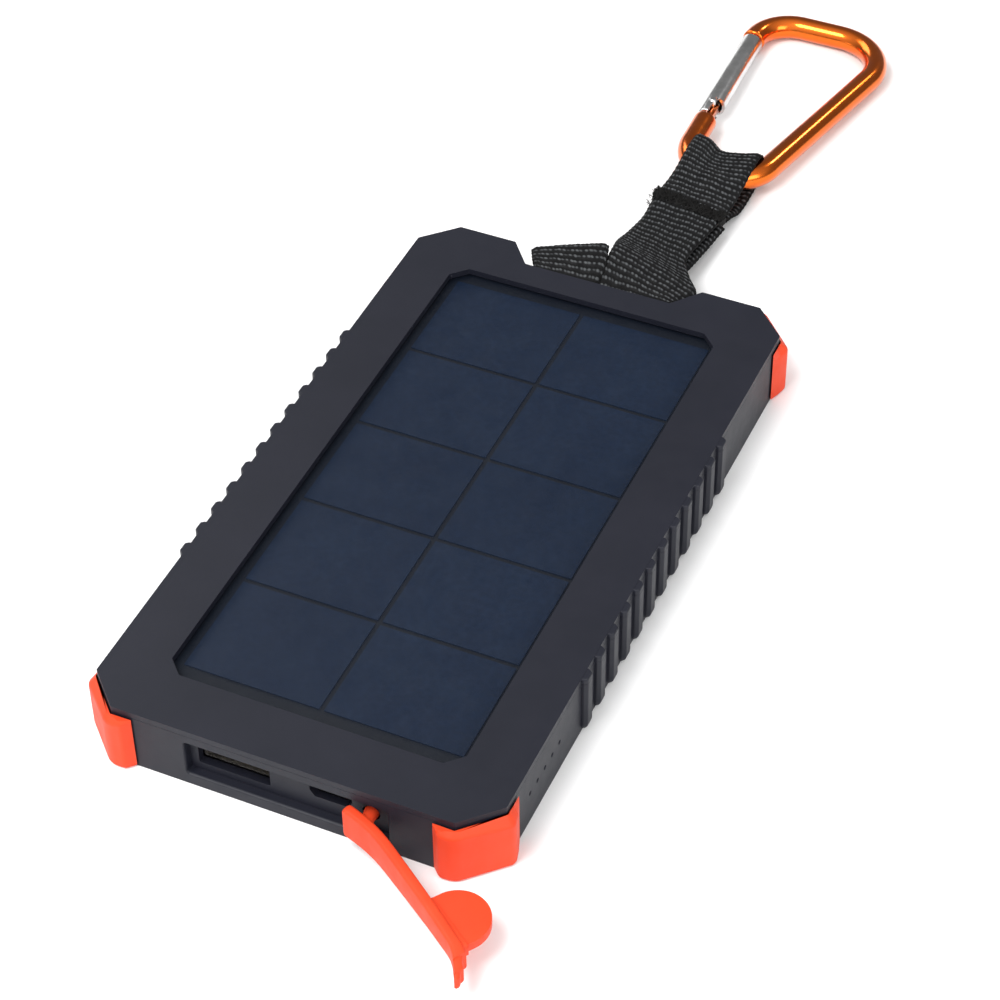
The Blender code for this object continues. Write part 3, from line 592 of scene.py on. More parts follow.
def make_tub(m):
    """The lower shell with its ribs, port recess, openings, lamp holes and the strap notch."""
    black = m["case"]
    tub = prism("case_tub", [rounded(case_outline(), 0.5, 3)], 0.0, TUB_TOP + TRIM, black)
    round_edges(tub, 0.4, 3, 50.0)
    add_ribs(tub, TUB_RIB, black)
    cut(tub, box("trim", (-50.0, -80.0, TUB_TOP), (50.0, 80.0, 16.0)))
    inside = grown(case_outline(), -1.8)
    inside[0] = (inside[0][0], WALL_INSIDE)
    inside[1] = (inside[1][0], WALL_INSIDE)
    cut(tub, prism("cavity", [inside], 1.6, TUB_TOP + 1.0))
    x0, x1, z0, z1 = RECESS
    recess = prism("recess", [rounded(rectangle(x0, x1, z0, z1), 0.6, 4)], FRONT - 1.0, RECESS_Y, axis="Y")
    flare = []
    for depth, grow in ((-0.3, 0.55), (0.0, 0.25), (0.12, 0.10), (0.4, 0.0), (0.6, 0.0)):
        mouth = rounded(rectangle(x0 - grow, x1 + grow, z0 - grow, z1 + grow), 0.6 + grow, 4)
        flare.append([(x, FRONT + depth, z) for x, z in mouth])
    cut(tub, recess, loft("flare", flare, None))
    x, z, w, h = USB
    opening = rounded(rectangle(x - w / 2, x + w / 2, z - h / 2, z + h / 2), 0.35, 3)
    cut(tub, prism("usb_opening", [opening], FRONT, WALL_INSIDE + 0.5, axis="Y"))
    cut(tub, prism("micro_opening", [micro_outline(0.05)], FRONT, WALL_INSIDE + 0.5, axis="Y"))
    cut(tub, rod("peg_hole", (PEG.x, FRONT, PEG.z), (PEG.x, WALL_INSIDE + 0.5, PEG.z), 1.6))
    for sign in (-1, 1):
        start = (sign * (NOTCH_INNER + 0.2), BAR_Y, BAR_Z)
        cut(tub, rod("bar_socket", start, (sign * (NOTCH_OUTER + 0.7), BAR_Y, BAR_Z), BAR_R + 0.3))
    for y in LED_Y:
        cut(tub, rod("lamp_hole", (SIDE - 3.0, y, LED_Z), (SIDE + 1.0, y, LED_Z), LED_R, sides=20))
        rim_start, rim_end = (SIDE - 0.12, y, LED_Z), (SIDE + 0.2, y, LED_Z)
        cut(tub, rod("lamp_rim", rim_start, rim_end, LED_R, sides=20, radius_end=0.72))
    for x, y in SCREWS:
        cut(tub, rod("screw_hole", (x, y, -0.5), (x, y, 2.1), 1.4))
        cut(tub, rod("screw_sink", (x, y, -0.5), (x, y, 0.9), 2.6, radius_end=2.5))
    finish_piece(even_normals(tub), "case", "black_plastic", "bottom_cover")


def micro_outline(grow):
    """The smaller opening: flat on top, with its two lower corners cut off."""
    x, z, w, h = MICRO
    half_w, half_h, slope = w / 2 + grow, h / 2 + grow, 0.9
    return rounded(
        [
            (x - half_w + slope, z - half_h), (x + half_w - slope, z - half_h),
            (x + half_w, z + half_h - slope), (x + half_w, z + half_h),
            (x - half_w, z + half_h), (x - half_w, z + half_h - slope),
        ],
        0.18, 3,
    )


def make_bumper(m, end, side, node):
    """A rubber corner guard: a rounded wall under a flat top that tapers to a point on the side face.

    Each corner of the wall gives its plan point, its rounding, the height where the soft top edge
    begins and how far that edge leans in.
    """
    corners = (
        (27.4, 69.3, 0.0, 11.1, 0.05), (28.9, 70.8, 1.2, 10.9, 0.5), (31.7, 70.8, 3.4, 10.6, 1.0),
        (39.3, 63.3, 1.6, 9.9, 1.4), (38.6, 60.7, 2.0, 9.6, 0.8), (37.8, 58.6, 0.0, 9.9, 0.02),
    )
    inner = ((37.8, 60.6), (37.8, 62.82), (31.32, 69.3))
    top = 11.5
    outer = []
    for index, (x, y, radius, soft, lean) in enumerate(corners):
        places = [(x, y)]
        if radius:
            before, after = corners[index - 1], corners[index + 1]
            turn = fillet([(before[0], before[1], 0.001), (x, y, radius), (after[0], after[1], 0.001)], 6)
            places = turn[7:14]
        outer += [(px, py, soft, lean) for px, py in places]
    middle = Vector((30.0, 60.0))
    shape = bmesh.new()
    rings = [[], [], []]
    for x, y, soft, lean in outer:
        pull = (middle - Vector((x, y))).normalized() * lean
        rings[0].append((x, y, 0.0))
        rings[1].append((x, y, soft))
        rings[2].append((x + pull.x, y + pull.y, top))
    for x, y in inner:
        for ring, z in zip(rings, (0.0, top - 0.4, top)):
            ring.append((x, y, z))
    rows = [[shape.verts.new((side * x * MM, end * y * MM, z * MM)) for x, y, z in ring] for ring in rings]
    for low, high in zip(rows, rows[1:]):
        for j in range(len(low)):
            shape.faces.new((low[j - 1], low[j], high[j], high[j - 1]))
    shape.faces.new(rows[0])
    shape.faces.new(rows[2])
    bmesh.ops.recalc_face_normals(shape, faces=shape.faces)
    count = len(outer)
    for row, width in ((rows[1], 0.8), (rows[2], 0.5), (rows[0], 1.3)):
        along = zip(row[:count - 1], row[1:count])
        edges = [shape.edges.get((a, b)) for a, b in along if a.is_valid and b.is_valid]
        bmesh.ops.bevel(
            shape, geom=[e for e in edges if e], offset=width * MM, segments=5, profile=0.5,
            affect="EDGES", clamp_overlap=True,
        )
    bmesh.ops.triangulate(shape, faces=[f for f in shape.faces if len(f.verts) > 4])
    bmesh.ops.recalc_face_normals(shape, faces=shape.faces)
    bumper = smooth(new_object("rubber_" + node, baked(shape, node), m["rubber"]), 40.0)
    finish_piece(even_normals(bumper), "case", "orange_rubber", node)


def make_bar(m):
    """The bar across the notch, which the strap goes round."""
    start = (-NOTCH_OUTER - 0.4, BAR_Y, BAR_Z)
    bar = rod("strap_bar", start, (NOTCH_OUTER + 0.4, BAR_Y, BAR_Z), BAR_R, m["case"], 40, rim=0.3)
    finish_piece(bar, "case", "black_plastic", "lanyard_bar")


# ---- sockets
SOCKET_Y = WALL_INSIDE + 0.3
SHELL_W, SHELL_H, SHELL_T, SHELL_LENGTH = 13.3, 5.74, 0.38, 14.0
SPRING_X, SPRING_W, LEAF_T = 3.0, 1.4, 0.22
TONGUE_W, TONGUE_LOW, TONGUE_HIGH = 11.2, 7.35, 9.15
PIN_COUNT, PIN_PITCH, PIN_W = 4, 2.3, 1.0
PIN_BEND = ((2.0, 7.30), (2.4, 7.16), (4.5, 7.10), (12.0, 7.15))
MICRO_LENGTH, MICRO_T, MICRO_TONGUE_W = 5.2, 0.33, 4.4


def centred(x, z, width, height):
    return rectangle(x - width / 2, x + width / 2, z - height / 2, z + height / 2)


def make_usb_a(m):
    """The larger socket: a folded shell with two springs, a tongue and four contacts."""
    x, z, _, _ = USB
    outer = rounded(centred(x, z, SHELL_W, SHELL_H), 0.55, 4)
    inner = rounded(centred(x, z, SHELL_W - 2 * SHELL_T, SHELL_H - 2 * SHELL_T), 0.3, 4)
    rear = SOCKET_Y + SHELL_LENGTH
    shell = prism("usb_shell", [outer, inner], SOCKET_Y, rear, m["steel"], axis="Y")
    round_edges(shell, 0.1, 2, 60.0)
    things = [shell, prism("usb_back", [outer], rear - 0.4, rear, m["steel"], axis="Y")]
    slot_start, slot_end = SOCKET_Y + 3.2, SOCKET_Y + 8.4
    for dx in (-SPRING_X, SPRING_X):
        slot = rectangle(x + dx - 0.9, x + dx + 0.9, z + 2.0, z + 3.5)
        cut(shell, prism("spring_slot", [slot], slot_start, slot_end, axis="Y"))
        path = [
            (x + dx, slot_end - 0.5 * i, z + 2.66 - 0.5 * math.sin(i / 10 * math.pi * 0.8))
            for i in range(11)
        ]
        things.append(strip_of("usb_spring", path, SPRING_W, LEAF_T, m["steel"]))
    finish_piece(gather("usb_socket", things), "case", "socket_steel", "usb_a_shell")
    low = (x - TONGUE_W / 2, SOCKET_Y + 1.7, TONGUE_LOW)
    high = (x + TONGUE_W / 2, SOCKET_Y + 13.0, TONGUE_HIGH)
    tongue = box("usb_tongue", low, high, m["plastic"], 0.25)
    finish_piece(tongue, "case", "socket_plastic", "usb_a_tongue")
    pins = []
    for number in range(PIN_COUNT):
        pin_x = x + (number - (PIN_COUNT - 1) / 2) * PIN_PITCH
        bend = [(pin_x, SOCKET_Y + depth, pin_z) for depth, pin_z in PIN_BEND]
        # the contacts' gold is darkened as painted shade
        pins.append(strip_of("usb_pin", bend, PIN_W, LEAF_T, m["gold"]))
    finish_piece(gather("usb_pins", pins), "case", "gold", "usb_a_contacts")


def make_micro_usb(m):
    """The smaller socket: a folded shell with a back and a thin tongue."""
    outer = grown(micro_outline(0.0), MICRO_T)
    rear = SOCKET_Y + MICRO_LENGTH
    shell = prism("micro_shell", [outer, micro_outline(-0.02)], SOCKET_Y, rear, m["steel"], axis="Y")
    back = prism("micro_back", [outer], rear - 0.4, rear, m["steel"], axis="Y")
    round_edges(shell, 0.08, 2, 60.0)
    finish_piece(gather("micro_socket", [shell, back]), "case", "socket_steel", "micro_usb_shell")
    low = (MICRO[0] - MICRO_TONGUE_W / 2, SOCKET_Y + 1.0, 6.4)
    high = (MICRO[0] + MICRO_TONGUE_W / 2, SOCKET_Y + 4.5, 7.0)
    blade = box("micro_tongue", low, high, m["plastic"], 0.12)
    finish_piece(blade, "case", "socket_plastic", "micro_usb_tongue")


def strip_of(name, path, width, thickness, mat):
    """A thin flat spring along a path in a plane of constant x."""
    rings = []
    path = np.asarray(path, float)
    ahead = np.gradient(path, axis=0)
    half = width / 2
    for (x, y, z), (_, dy, dz) in zip(path, ahead):
        length = math.hypot(dy, dz)
        ny, nz = -dz / length * thickness / 2, dy / length * thickness / 2
        rings.append([
            (x - half, y + ny, z + nz), (x + half, y + ny, z + nz),
            (x + half, y - ny, z - nz), (x - half, y - ny, z - nz),
        ])
    return loft(name, rings, mat, degrees=30.0)


# ---- port cover
STRIP_LENGTH, STRIP_STEP, STRIP_CORNER = 37.4, 0.1, 0.62
NOSE = 0.6                     # the soft round at the strip's short end
BEND_END = 12.0                # the strip is straight past here
PEG_INNER, PEG_OUTER, PEG_R = -65.45, -71.0, 1.3


def strip_heading(s):
    """Angle of the rubber strip below +X at a distance s from its short end."""
    share = min(s / BEND_END, 1.0)
    return LIFT + FLEX * share * share * (3.0 - 2.0 * share)


def strip_line(length, step=0.2):
    """Points (s, outer face point, heading) along the strip's outer face."""
    turn = LIFT
    place = np.array((LIFT_AT.x - COVER_T * math.sin(turn), LIFT_AT.y - COVER_T * math.cos(turn)))
    line = []
    for index in range(int(length / step) + 1):
        s = index * step
        turn = strip_heading(s)
        line.append((s, place.copy(), turn))
        place += step * np.array((math.cos(turn), -math.sin(turn)))
    return line


def strip_piece(m):
    """The rubber strip: a flat bar with rounded edges that gets lower towards a finned finger tab.

    The tables give, at distances from the short end, the outer and inner faces measured inwards from
    the strip's outer face, and the heights of its lower and upper edges from the peg's axis.
    """
    outer_at = (0.0, 31.0, 32.2, 33.5, 35.5, 37.1, 37.4)
    outer_by = (0.0, 0.0, -0.1, -0.45, -1.35, -2.20, -2.10)
    inner_at = (0.0, 32.6, 34.4, 34.5, 36.5, 36.6, 37.2, 37.4)
    inner_by = (COVER_T, COVER_T, 1.60, 0.85, -0.10, -0.75, -1.15, -1.40)
    low_at = (0.0, 0.15, 0.5, 1.0, 5.0, 18.0, 26.0, 32.6, 35.5, 36.9, 37.4)
    low_by = (-2.6, -3.0, -3.3, -3.4, -3.3, -2.3, -1.9, -2.1, -2.3, -2.1, -1.7)
    high_at = (0.0, 0.15, 0.5, 1.0, 16.0, 24.0, 31.0, 34.4, 34.5, 36.5, 36.6, 37.4)
    high_by = (2.6, 3.0, 3.3, 3.4, 3.4, 3.1, 2.4, 2.0, 1.6, 1.4, 1.0, 0.5)
    rings = []
    for s, place, turn in strip_line(STRIP_LENGTH, STRIP_STEP):
        front = np.interp(s, outer_at, outer_by)
        back = np.interp(s, inner_at, inner_by)
        if s < NOSE:
            dent = 0.45 * (1.0 - math.sqrt(1.0 - (1.0 - s / NOSE) ** 2))
            front, back = front + dent, back - dent
        corner = min(STRIP_CORNER, (back - front) * 0.42)
        normal = np.array((math.sin(turn), math.cos(turn)))
        low, high = np.interp(s, low_at, low_by), np.interp(s, high_at, high_by)
        ring = rounded(rectangle(front, back, low, high), corner, 5)
        rings.append([(*(place + normal * a), PEG.z + b) for a, b in ring])
    return loft("cover_strip_rubber", rings, m["rubber"], degrees=42.0)


def strip_fittings(m):
    """The blade, its rim and the small lug on the strip's inner face, where the cover hangs at rest."""
    turn = LIFT + FLEX
    flex = Vector((
        LIFT_AT.x + ROOT_LENGTH * math.cos(LIFT) - COVER_T * math.sin(LIFT),
        LIFT_AT.y - ROOT_LENGTH * math.sin(LIFT) - COVER_T * math.cos(LIFT),
        LIFT_AT.z,
    ))
    place = Matrix((
        (-math.cos(turn), math.sin(turn), 0.0, flex.x * MM),
        (math.sin(turn), math.cos(turn), 0.0, flex.y * MM),
        (0.0, 0.0, -1.0, flex.z * MM),
        (0.0, 0.0, 0.0, 1.0),
    ))
    to_flex = PEG.x + SHORT_END - ROOT_LENGTH
    plug_x = USB[0] - to_flex
    blade_x = plug_x + PLUG_SHIFT
    disc = [(blade_x - PLUG_R, 1.2), (blade_x + PLUG_R, 1.2)]
    disc += arc((blade_x, COVER_T + PLUG_REACH - PLUG_R), PLUG_R, 0.0, 180.0, 48)
    blade = round_edges(prism("blade", [disc], -1.2, 0.6, m["rubber"]), 0.4, 4, 50.0)
    root = COVER_T - 0.5
    rim_plan = rounded(rectangle(plug_x - 5.2, plug_x + 6.2, -1.6, 1.5), 0.9, 5)
    rim = prism("rim", [rim_plan], root, COVER_T + 0.8, m["rubber"], axis="Y")
    round_edges(rim, 0.3, 3, 50.0)
    lug_x = MICRO[0] - to_flex
    lug_plan = rounded(rectangle(lug_x - 2.7, lug_x + 2.7, -0.3, 1.2), 0.4, 4)
    lug = prism("lug", [lug_plan], root, COVER_T + 0.55, m["rubber"], axis="Y")
    round_edges(lug, 0.2, 3, 50.0)
    fittings = (rim, blade, lug)
    for piece in fittings:
        piece.data.transform(place)
    return fittings


def make_port_cover(m):
    """The strip with its fittings, which bends near its short end, and the peg that holds it."""
    fittings = strip_fittings(m)
    strip = smooth(join(strip_piece(m), *fittings), 42.0)
    line = strip_line(9.0)
    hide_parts("port_cover_root", "port_cover_strip")
    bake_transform(strip)
    stations = np.linspace(PEG_INNER, PEG_OUTER, 40)
    flare = [
        PEG_R + 0.55 * math.exp(-((y + 70.9) / 0.55) ** 2) - 0.15 * math.exp(-((y + 68.4) / 1.0) ** 2)
        for y in stations
    ]
    stem = tube("cover_peg", [(PEG.x, y, PEG.z) for y in stations], flare, m["rubber"], 28)
    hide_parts("port_cover_stem")
    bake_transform(stem)


# ---- webbing
def spline(points, t):
    """Catmull-Rom curve through rows of points, at places t from 0 to the last row."""
    points = np.asarray(points, float)
    ends = np.concatenate(([2 * points[0] - points[1]], points, [2 * points[-1] - points[-2]]))
    at = np.clip(np.floor(t).astype(int), 0, len(points) - 2)
    f = (t - at).reshape(-1, *([1] * (points.ndim - 1)))
    a, b, c, d = (ends[at + k] for k in range(4))
    return 0.5 * (2 * b + (c - a) * f + (2 * a - 5 * b + 4 * c - d) * f**2 + (3 * b - a - 3 * c + d) * f**3)


def tape(name, rows, mat, start=0.0, paces=None):
    """Woven tape through rows of points, each row running across it from edge to edge.

    Weft ribs cross the tape and short warp floats make dashes along each rib. The mesh carries the
    height of the weave as the attribute relief. The paces pack the ribs closer or wider, row by row.
    """
    rows = np.asarray(rows, float)
    guess = np.linspace(0, len(rows) - 1, 400)
    middle = spline(rows.mean(axis=1), guess)
    run = np.concatenate(([0.0], np.cumsum(np.linalg.norm(np.diff(middle, axis=0), axis=1))))
    count = int(run[-1] / (RIB_STEP / 8))
    s = np.linspace(0.0, run[-1], count)
    rows_at = np.interp(s, run, guess)
    lines = spline(rows, rows_at)
    columns = rows.shape[1]
    wide = np.linalg.norm(np.diff(rows, axis=1), axis=2).sum(axis=1).mean()
    across = int(wide / 0.125)
    sheet = spline(lines.transpose(1, 0, 2), np.linspace(0, columns - 1, across)).transpose(1, 0, 2)
    along = np.gradient(sheet, axis=0)
    side = np.gradient(sheet, axis=1)
    along /= np.linalg.norm(along, axis=2, keepdims=True) + 1e-9
    side /= np.linalg.norm(side, axis=2, keepdims=True) + 1e-9
    up = np.cross(side, along)
    up /= np.linalg.norm(up, axis=2, keepdims=True) + 1e-9
    u = np.linspace(-wide / 2, wide / 2, across)[None, :]
    pace = np.interp(rows_at, range(len(rows)), paces or [1.0] * len(rows))
    v = (np.cumsum(pace) * (s[1] - s[0]))[:, None] + start
    v = v + 0.10 * np.sin(u * 0.9 + 0.35 * v) + 0.06 * np.sin(u * 2.3 - 0.8 * v)
    edge = np.clip((wide / 2 - np.abs(u)) / 0.7, 0.0, 1.0) ** 0.5

    def weave(shift):
        rib_at = (v + shift * RIB_STEP) / RIB_STEP
        row = np.floor(rib_at)
        part = rib_at - row
        body = np.sin(math.pi * part) ** 0.9
        wobble = 0.12 * np.sin(row * 2.7 + u * 0.7)
        dash = (0.5 + 0.5 * np.cos(2 * math.pi * (u / FLOAT_STEP + 0.5 * row + 0.5 * part + wobble))) ** 0.6
        rough = 0.12 * np.sin(row * 5.1 + u * 3.7) * np.sin(u * 1.3 - row)
        return body * (0.77 + 0.23 * dash + rough)

    top, bottom = weave(0.0), weave(0.5)
    half = WEB_T / 2 - WEAVE_DEPTH * 0.6
    over = sheet + up * ((half * (0.55 + 0.45 * edge) + WEAVE_DEPTH * top * edge)[:, :, None])
    under = sheet - up * ((half * (0.55 + 0.45 * edge) + WEAVE_DEPTH * bottom * edge)[:, :, None])
    bends = np.radians((60.0, 20.0, -20.0, -60.0))
    knots = 0.5 + 0.5 * np.sin(2 * math.pi * v[:, :1] / RIB_STEP)

    def selvedge(index, sign):
        ring = []
        for angle in bends if sign > 0 else -bends:
            reach = (0.30 + 0.10 * knots[:, 0])[:, None]
            out = side[:, index] * (sign * math.cos(angle)) * reach
            ring.append(sheet[:, index] + out + up[:, index] * (math.sin(angle) * half * 0.62))
        return np.stack(ring, axis=1)

    loop = np.concatenate((over, selvedge(-1, 1.0), under[:, ::-1], selvedge(0, -1.0)), axis=1)
    height = np.concatenate(
        (top, np.repeat(knots * 0.6, 4, axis=1), bottom[:, ::-1], np.repeat(knots * 0.6, 4, axis=1)), axis=1
    )
    size = loop.shape[1]
    i, j = np.meshgrid(np.arange(count - 1), np.arange(size), indexing="ij")
    k = (j + 1) % size
    quads = np.stack((i * size + j, i * size + k, (i + 1) * size + k, (i + 1) * size + j), axis=-1)
    faces = quads.reshape(-1, 4)[:, ::-1].tolist()
    faces.append(list(range(size)))
    faces.append(list(range(count * size - size, count * size))[::-1])
    mesh = bpy.data.meshes.new(name)
    mesh.from_pydata((loop.reshape(-1, 3) * MM).tolist(), [], faces)
    mesh.shade_smooth()
    # the webbing material paints shade where the relief is low and a highlight where it is high
    attribute = mesh.attributes.new("relief", "FLOAT", "POINT")
    attribute.data.foreach_set("value", np.clip(height.reshape(-1), 0.0, 1.0).astype(np.float32))
    return new_object(name, mesh, mat)


def ring_row(angle, x_left, x_right, pad=0.0):
    """A row across the tape where it goes round the bar, at an angle in degrees from +Y."""
    radius = BAR_R + 0.3 + WEB_T / 2 + pad
    y = BAR_Y + radius * math.cos(math.radians(angle))
    z = BAR_Z + radius * math.sin(math.radians(angle))
    return [(x_left, y, z), ((x_left + x_right) / 2, y, z), (x_right, y, z)]


def row(left, right, lift=0.0):
    """A row across the tape between its two edges, with the middle raised by lift."""
    middle = [(a + b) / 2 for a, b in zip(left, right)]
    middle[2] += lift
    return [left, tuple(middle), right]


def make_wraps(m):
    """The two turns of the tape round the bar; the right one runs on as the strap's upper layer."""
    left = [row((-14.4, 71.0, 3.5), (-4.0, 73.0, 3.3))]
    left += [ring_row(angle, -14.4, -1.75) for angle in (-90, -135, -180, -225, -270)]
    left += [
        row((-15.8, 69.3, 9.3), (-1.8, 71.2, 10.0), 0.15),
        row((-17.0, 71.7, 9.4), (-3.3, 76.4, 10.3), 0.2),
        row((-17.5, 73.0, 8.3), (-4.3, 79.0, 9.2), 0.1),
        row((-17.1, 72.8, 6.0), (-4.6, 78.4, 6.6)),
        row((-16.0, 71.4, 4.3), (-4.8, 75.2, 4.5)),
    ]
    wrap = tape("wrap_left", left, m["web"])
    finish_piece(wrap, "strap_root", "black_webbing", "strap_wrap_left")

    upper = [row((-3.6, 72.6, 3.4), (14.4, 71.2, 3.5))]
    upper += [ring_row(angle, -1.0, 14.4) for angle in (-90, -135, -180, -225, -270)]
    upper += [
        row((-2.2, 73.6, 9.8), (15.2, 68.4, 9.6), 0.1),
        row((-2.9, 79.4, 9.4), (16.9, 72.0, 9.5), 0.2),
        row((-3.5, 83.2, 8.0), (13.2, 78.0, 8.0), 0.1),
        row((-3.2, 87.0, 7.0), (10.2, 84.2, 6.7), 0.1),
        row((-2.8, 94.0, 5.7), (10.4, 92.6, 5.6), 0.1),
        row((-3.2, 99.0, 5.0), (10.8, 97.6, 5.0), 0.1),
        row((-3.6, 103.4, 4.4), (11.0, 101.0, 4.4)),
    ]
    paces = [1.05] * 8 + [0.95, 0.85, 0.75, 0.75, 0.78]
    run_on = tape("wrap_right_and_run", upper, m["web"], 0.4, paces)
    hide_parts("strap_wrap_right", "strap_web_upper")
    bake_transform(run_on)


def make_run(m):
    """The strap's lower layer, from under the bar to the bar tack."""
    lower = [
        row((-3.4, 72.0, 3.9), (13.6, 71.0, 4.0)),
        row((-3.1, 76.5, 5.2), (11.6, 75.0, 5.2)),
        row((-3.1, 81.0, 5.5), (10.5, 79.4, 5.3)),
        row((-2.8, 87.0, 5.0), (11.0, 85.0, 4.6)),
        row((-2.4, 95.0, 4.1), (11.5, 92.6, 3.7)),
        row((-3.0, 103.4, 3.0), (12.0, 100.8, 2.9)),
    ]
    run = tape("run_lower", lower, m["web"], start=0.3)
    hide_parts("strap_web_lower")
    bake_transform(run)


def make_loop(m):
    """The end loop, which leaves the tack, goes round the snap hook's wire and comes back under it."""
    columns = (
        (-2.3, 120.7, -3.9), (0.6, 119.5, -0.4), (4.0, 116.9, 3.1), (7.8, 117.3, 7.0), (12.2, 119.2, 11.1),
    )
    profile = (
        (None, 102.6, 4.4), (None, 107.0, 5.0), (-4.6, None, 6.5), (-1.2, None, 7.45), (1.6, None, 7.2),
        (3.2, None, 5.4), (3.1, None, 3.4), (1.9, None, 1.5), (-1.0, None, 0.95), (-4.6, None, 1.1),
        (None, 107.0, 2.1), (None, 102.6, 3.0),
    )
    rows = []
    for from_wire, fixed, z in profile:
        line = []
        for x, wire_y, x_start in columns:
            tilt = (4.0 - x) * 0.14
            if fixed is None:
                share = min(max((from_wire + 4.6) / 4.6, 0.0), 1.0)
                y = wire_y + from_wire
                if from_wire < 0:
                    y = (110.6 + tilt) * (1.0 - share) + y * share
                line.append((x, y, z + 0.12 * math.sin(x * 0.8)))
            else:
                share = (fixed - 102.6) / 8.0
                line.append((x_start + (x - x_start) * share, fixed + tilt, z))
        rows.append(line)
    loop = tape("end_loop", rows, m["web"], 0.15, [1.15] * len(rows))
    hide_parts("strap_end_loop")
    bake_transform(loop)


CLUMPS, FIBRES, FRAYED = 170, 1000, 40


def make_tack(m):
    """The bar tack: clumps of fuzzy thread over a lumpy pad, with loose fibres and a frayed left end."""
    rng = random.Random(7)
    left, right = Vector((-4.3, 104.1, 3.75)), Vector((11.6, 101.4, 3.75))
    along = (right - left).normalized()
    ahead = Vector((-along.y, along.x, 0.0))
    up = Vector((0.0, 0.0, 1.0))
    half_width, half_height = 2.35, 1.6
    things = []
    pad = []
    for index in range(61):
        share = index / 60
        taper = 1.0 - 0.5 * abs(2 * share - 1) ** 12
        centre = left.lerp(right, share)
        ring = []
        for step in range(32):
            angle = 2 * math.pi * step / 32
            lump = 0.93 + 0.07 * math.sin(share * 23 + step * 1.3) + 0.05 * math.sin(share * 61 - step * 0.9)
            lump += 0.08 * math.sin(share * 9.0 - 1.2)
            across = math.copysign(abs(math.cos(angle)) ** 0.7, math.cos(angle)) * half_width * taper * lump
            rise = math.copysign(abs(math.sin(angle)) ** 0.7, math.sin(angle)) * half_height * taper * lump
            ring.append(tuple(centre + ahead * across + up * rise))
        pad.append(ring)
    things.append(loft("pad", pad, m["tack"], degrees=180.0))
    for index in range(CLUMPS):
        side = 1.0 if index % 5 else -1.0
        foot = left.lerp(right, rng.uniform(0.01, 0.99))
        slant = rng.uniform(-1.1, 1.1)
        middle = rng.uniform(-1.2, 1.2)
        reach = rng.uniform(0.6, 1.3)
        height = side * (half_height + rng.uniform(-0.10, 0.16))
        points = []
        for step in range(8):
            t = step / 7 * 2 - 1
            place = middle + t * reach
            sink = 1.0 - 0.30 * (place / half_width) ** 2
            wave = along * (slant * t + 0.12 * math.sin(t * 5 + index))
            points.append(foot + wave + ahead * place + up * (height * sink))
        things.append(tube("clump", points, rng.uniform(0.13, 0.26), m["tack"], 7))
    for index in range(FIBRES):
        frayed = index >= FIBRES - FRAYED
        share = rng.uniform(-0.02, 0.03) if frayed else rng.random()
        angle = rng.uniform(-0.5, math.pi + 0.5)
        root = left.lerp(right, share) + ahead * (math.cos(angle) * 2.2) + up * (math.sin(angle) * 1.55)
        heading = ahead * math.cos(angle) + up * (0.6 * math.sin(angle)) + along * rng.uniform(-1.2, 1.2)
        if frayed:
            heading = -along + ahead * rng.uniform(-0.7, 0.7) + up * rng.uniform(-0.3, 0.7)
        heading = heading.normalized()
        curl = Vector((rng.uniform(-1, 1), rng.uniform(-1, 1), rng.uniform(-1, 0.3)))
        size = rng.uniform(0.3, 0.8)
        points = [root + heading * (size * t) + curl * (0.5 * size * t * t) for t in (0.0, 0.35, 0.7, 1.0)]
        things.append(tube("fibre", points, (0.07, 0.065, 0.05, 0.02), m["tack"], 4))
    tack = gather("bar_tack", things)
    attribute = tack.data.attributes.new("relief", "FLOAT", "POINT")
    heights = [0.1 + 0.7 * rng.random() for _ in tack.data.vertices]
    attribute.data.foreach_set("value", heights)
    finish_piece(tack, "strap_end", "tack_thread", "strap_bar_tack")


# ---- snap hook
WIRE_END = ((0.0, 2.05), (0.12, 2.28), (0.3, 2.42), (0.55, WIRE_R))   # (depth, radius) of the soft end


def gate_side(y):
    """Point on the gate's centre line, in hook axes."""
    (x0, y0, _), (x1, y1, _) = HOOK_CORNERS[0], HOOK_CORNERS[3]
    return Vector((x0 + (x1 - x0) * (y - y0) / (y1 - y0), y - HOOK_AXIS.y, 0.0))


def put_hook(thing):
    """From hook axes to its place: a small tilt about the wire where the loop holds it."""
    turn = Matrix.Rotation(-HOOK_TILT, 4, "X")
    thing.data.transform(Matrix.Translation(HOOK_AXIS * MM) @ turn)
    return thing


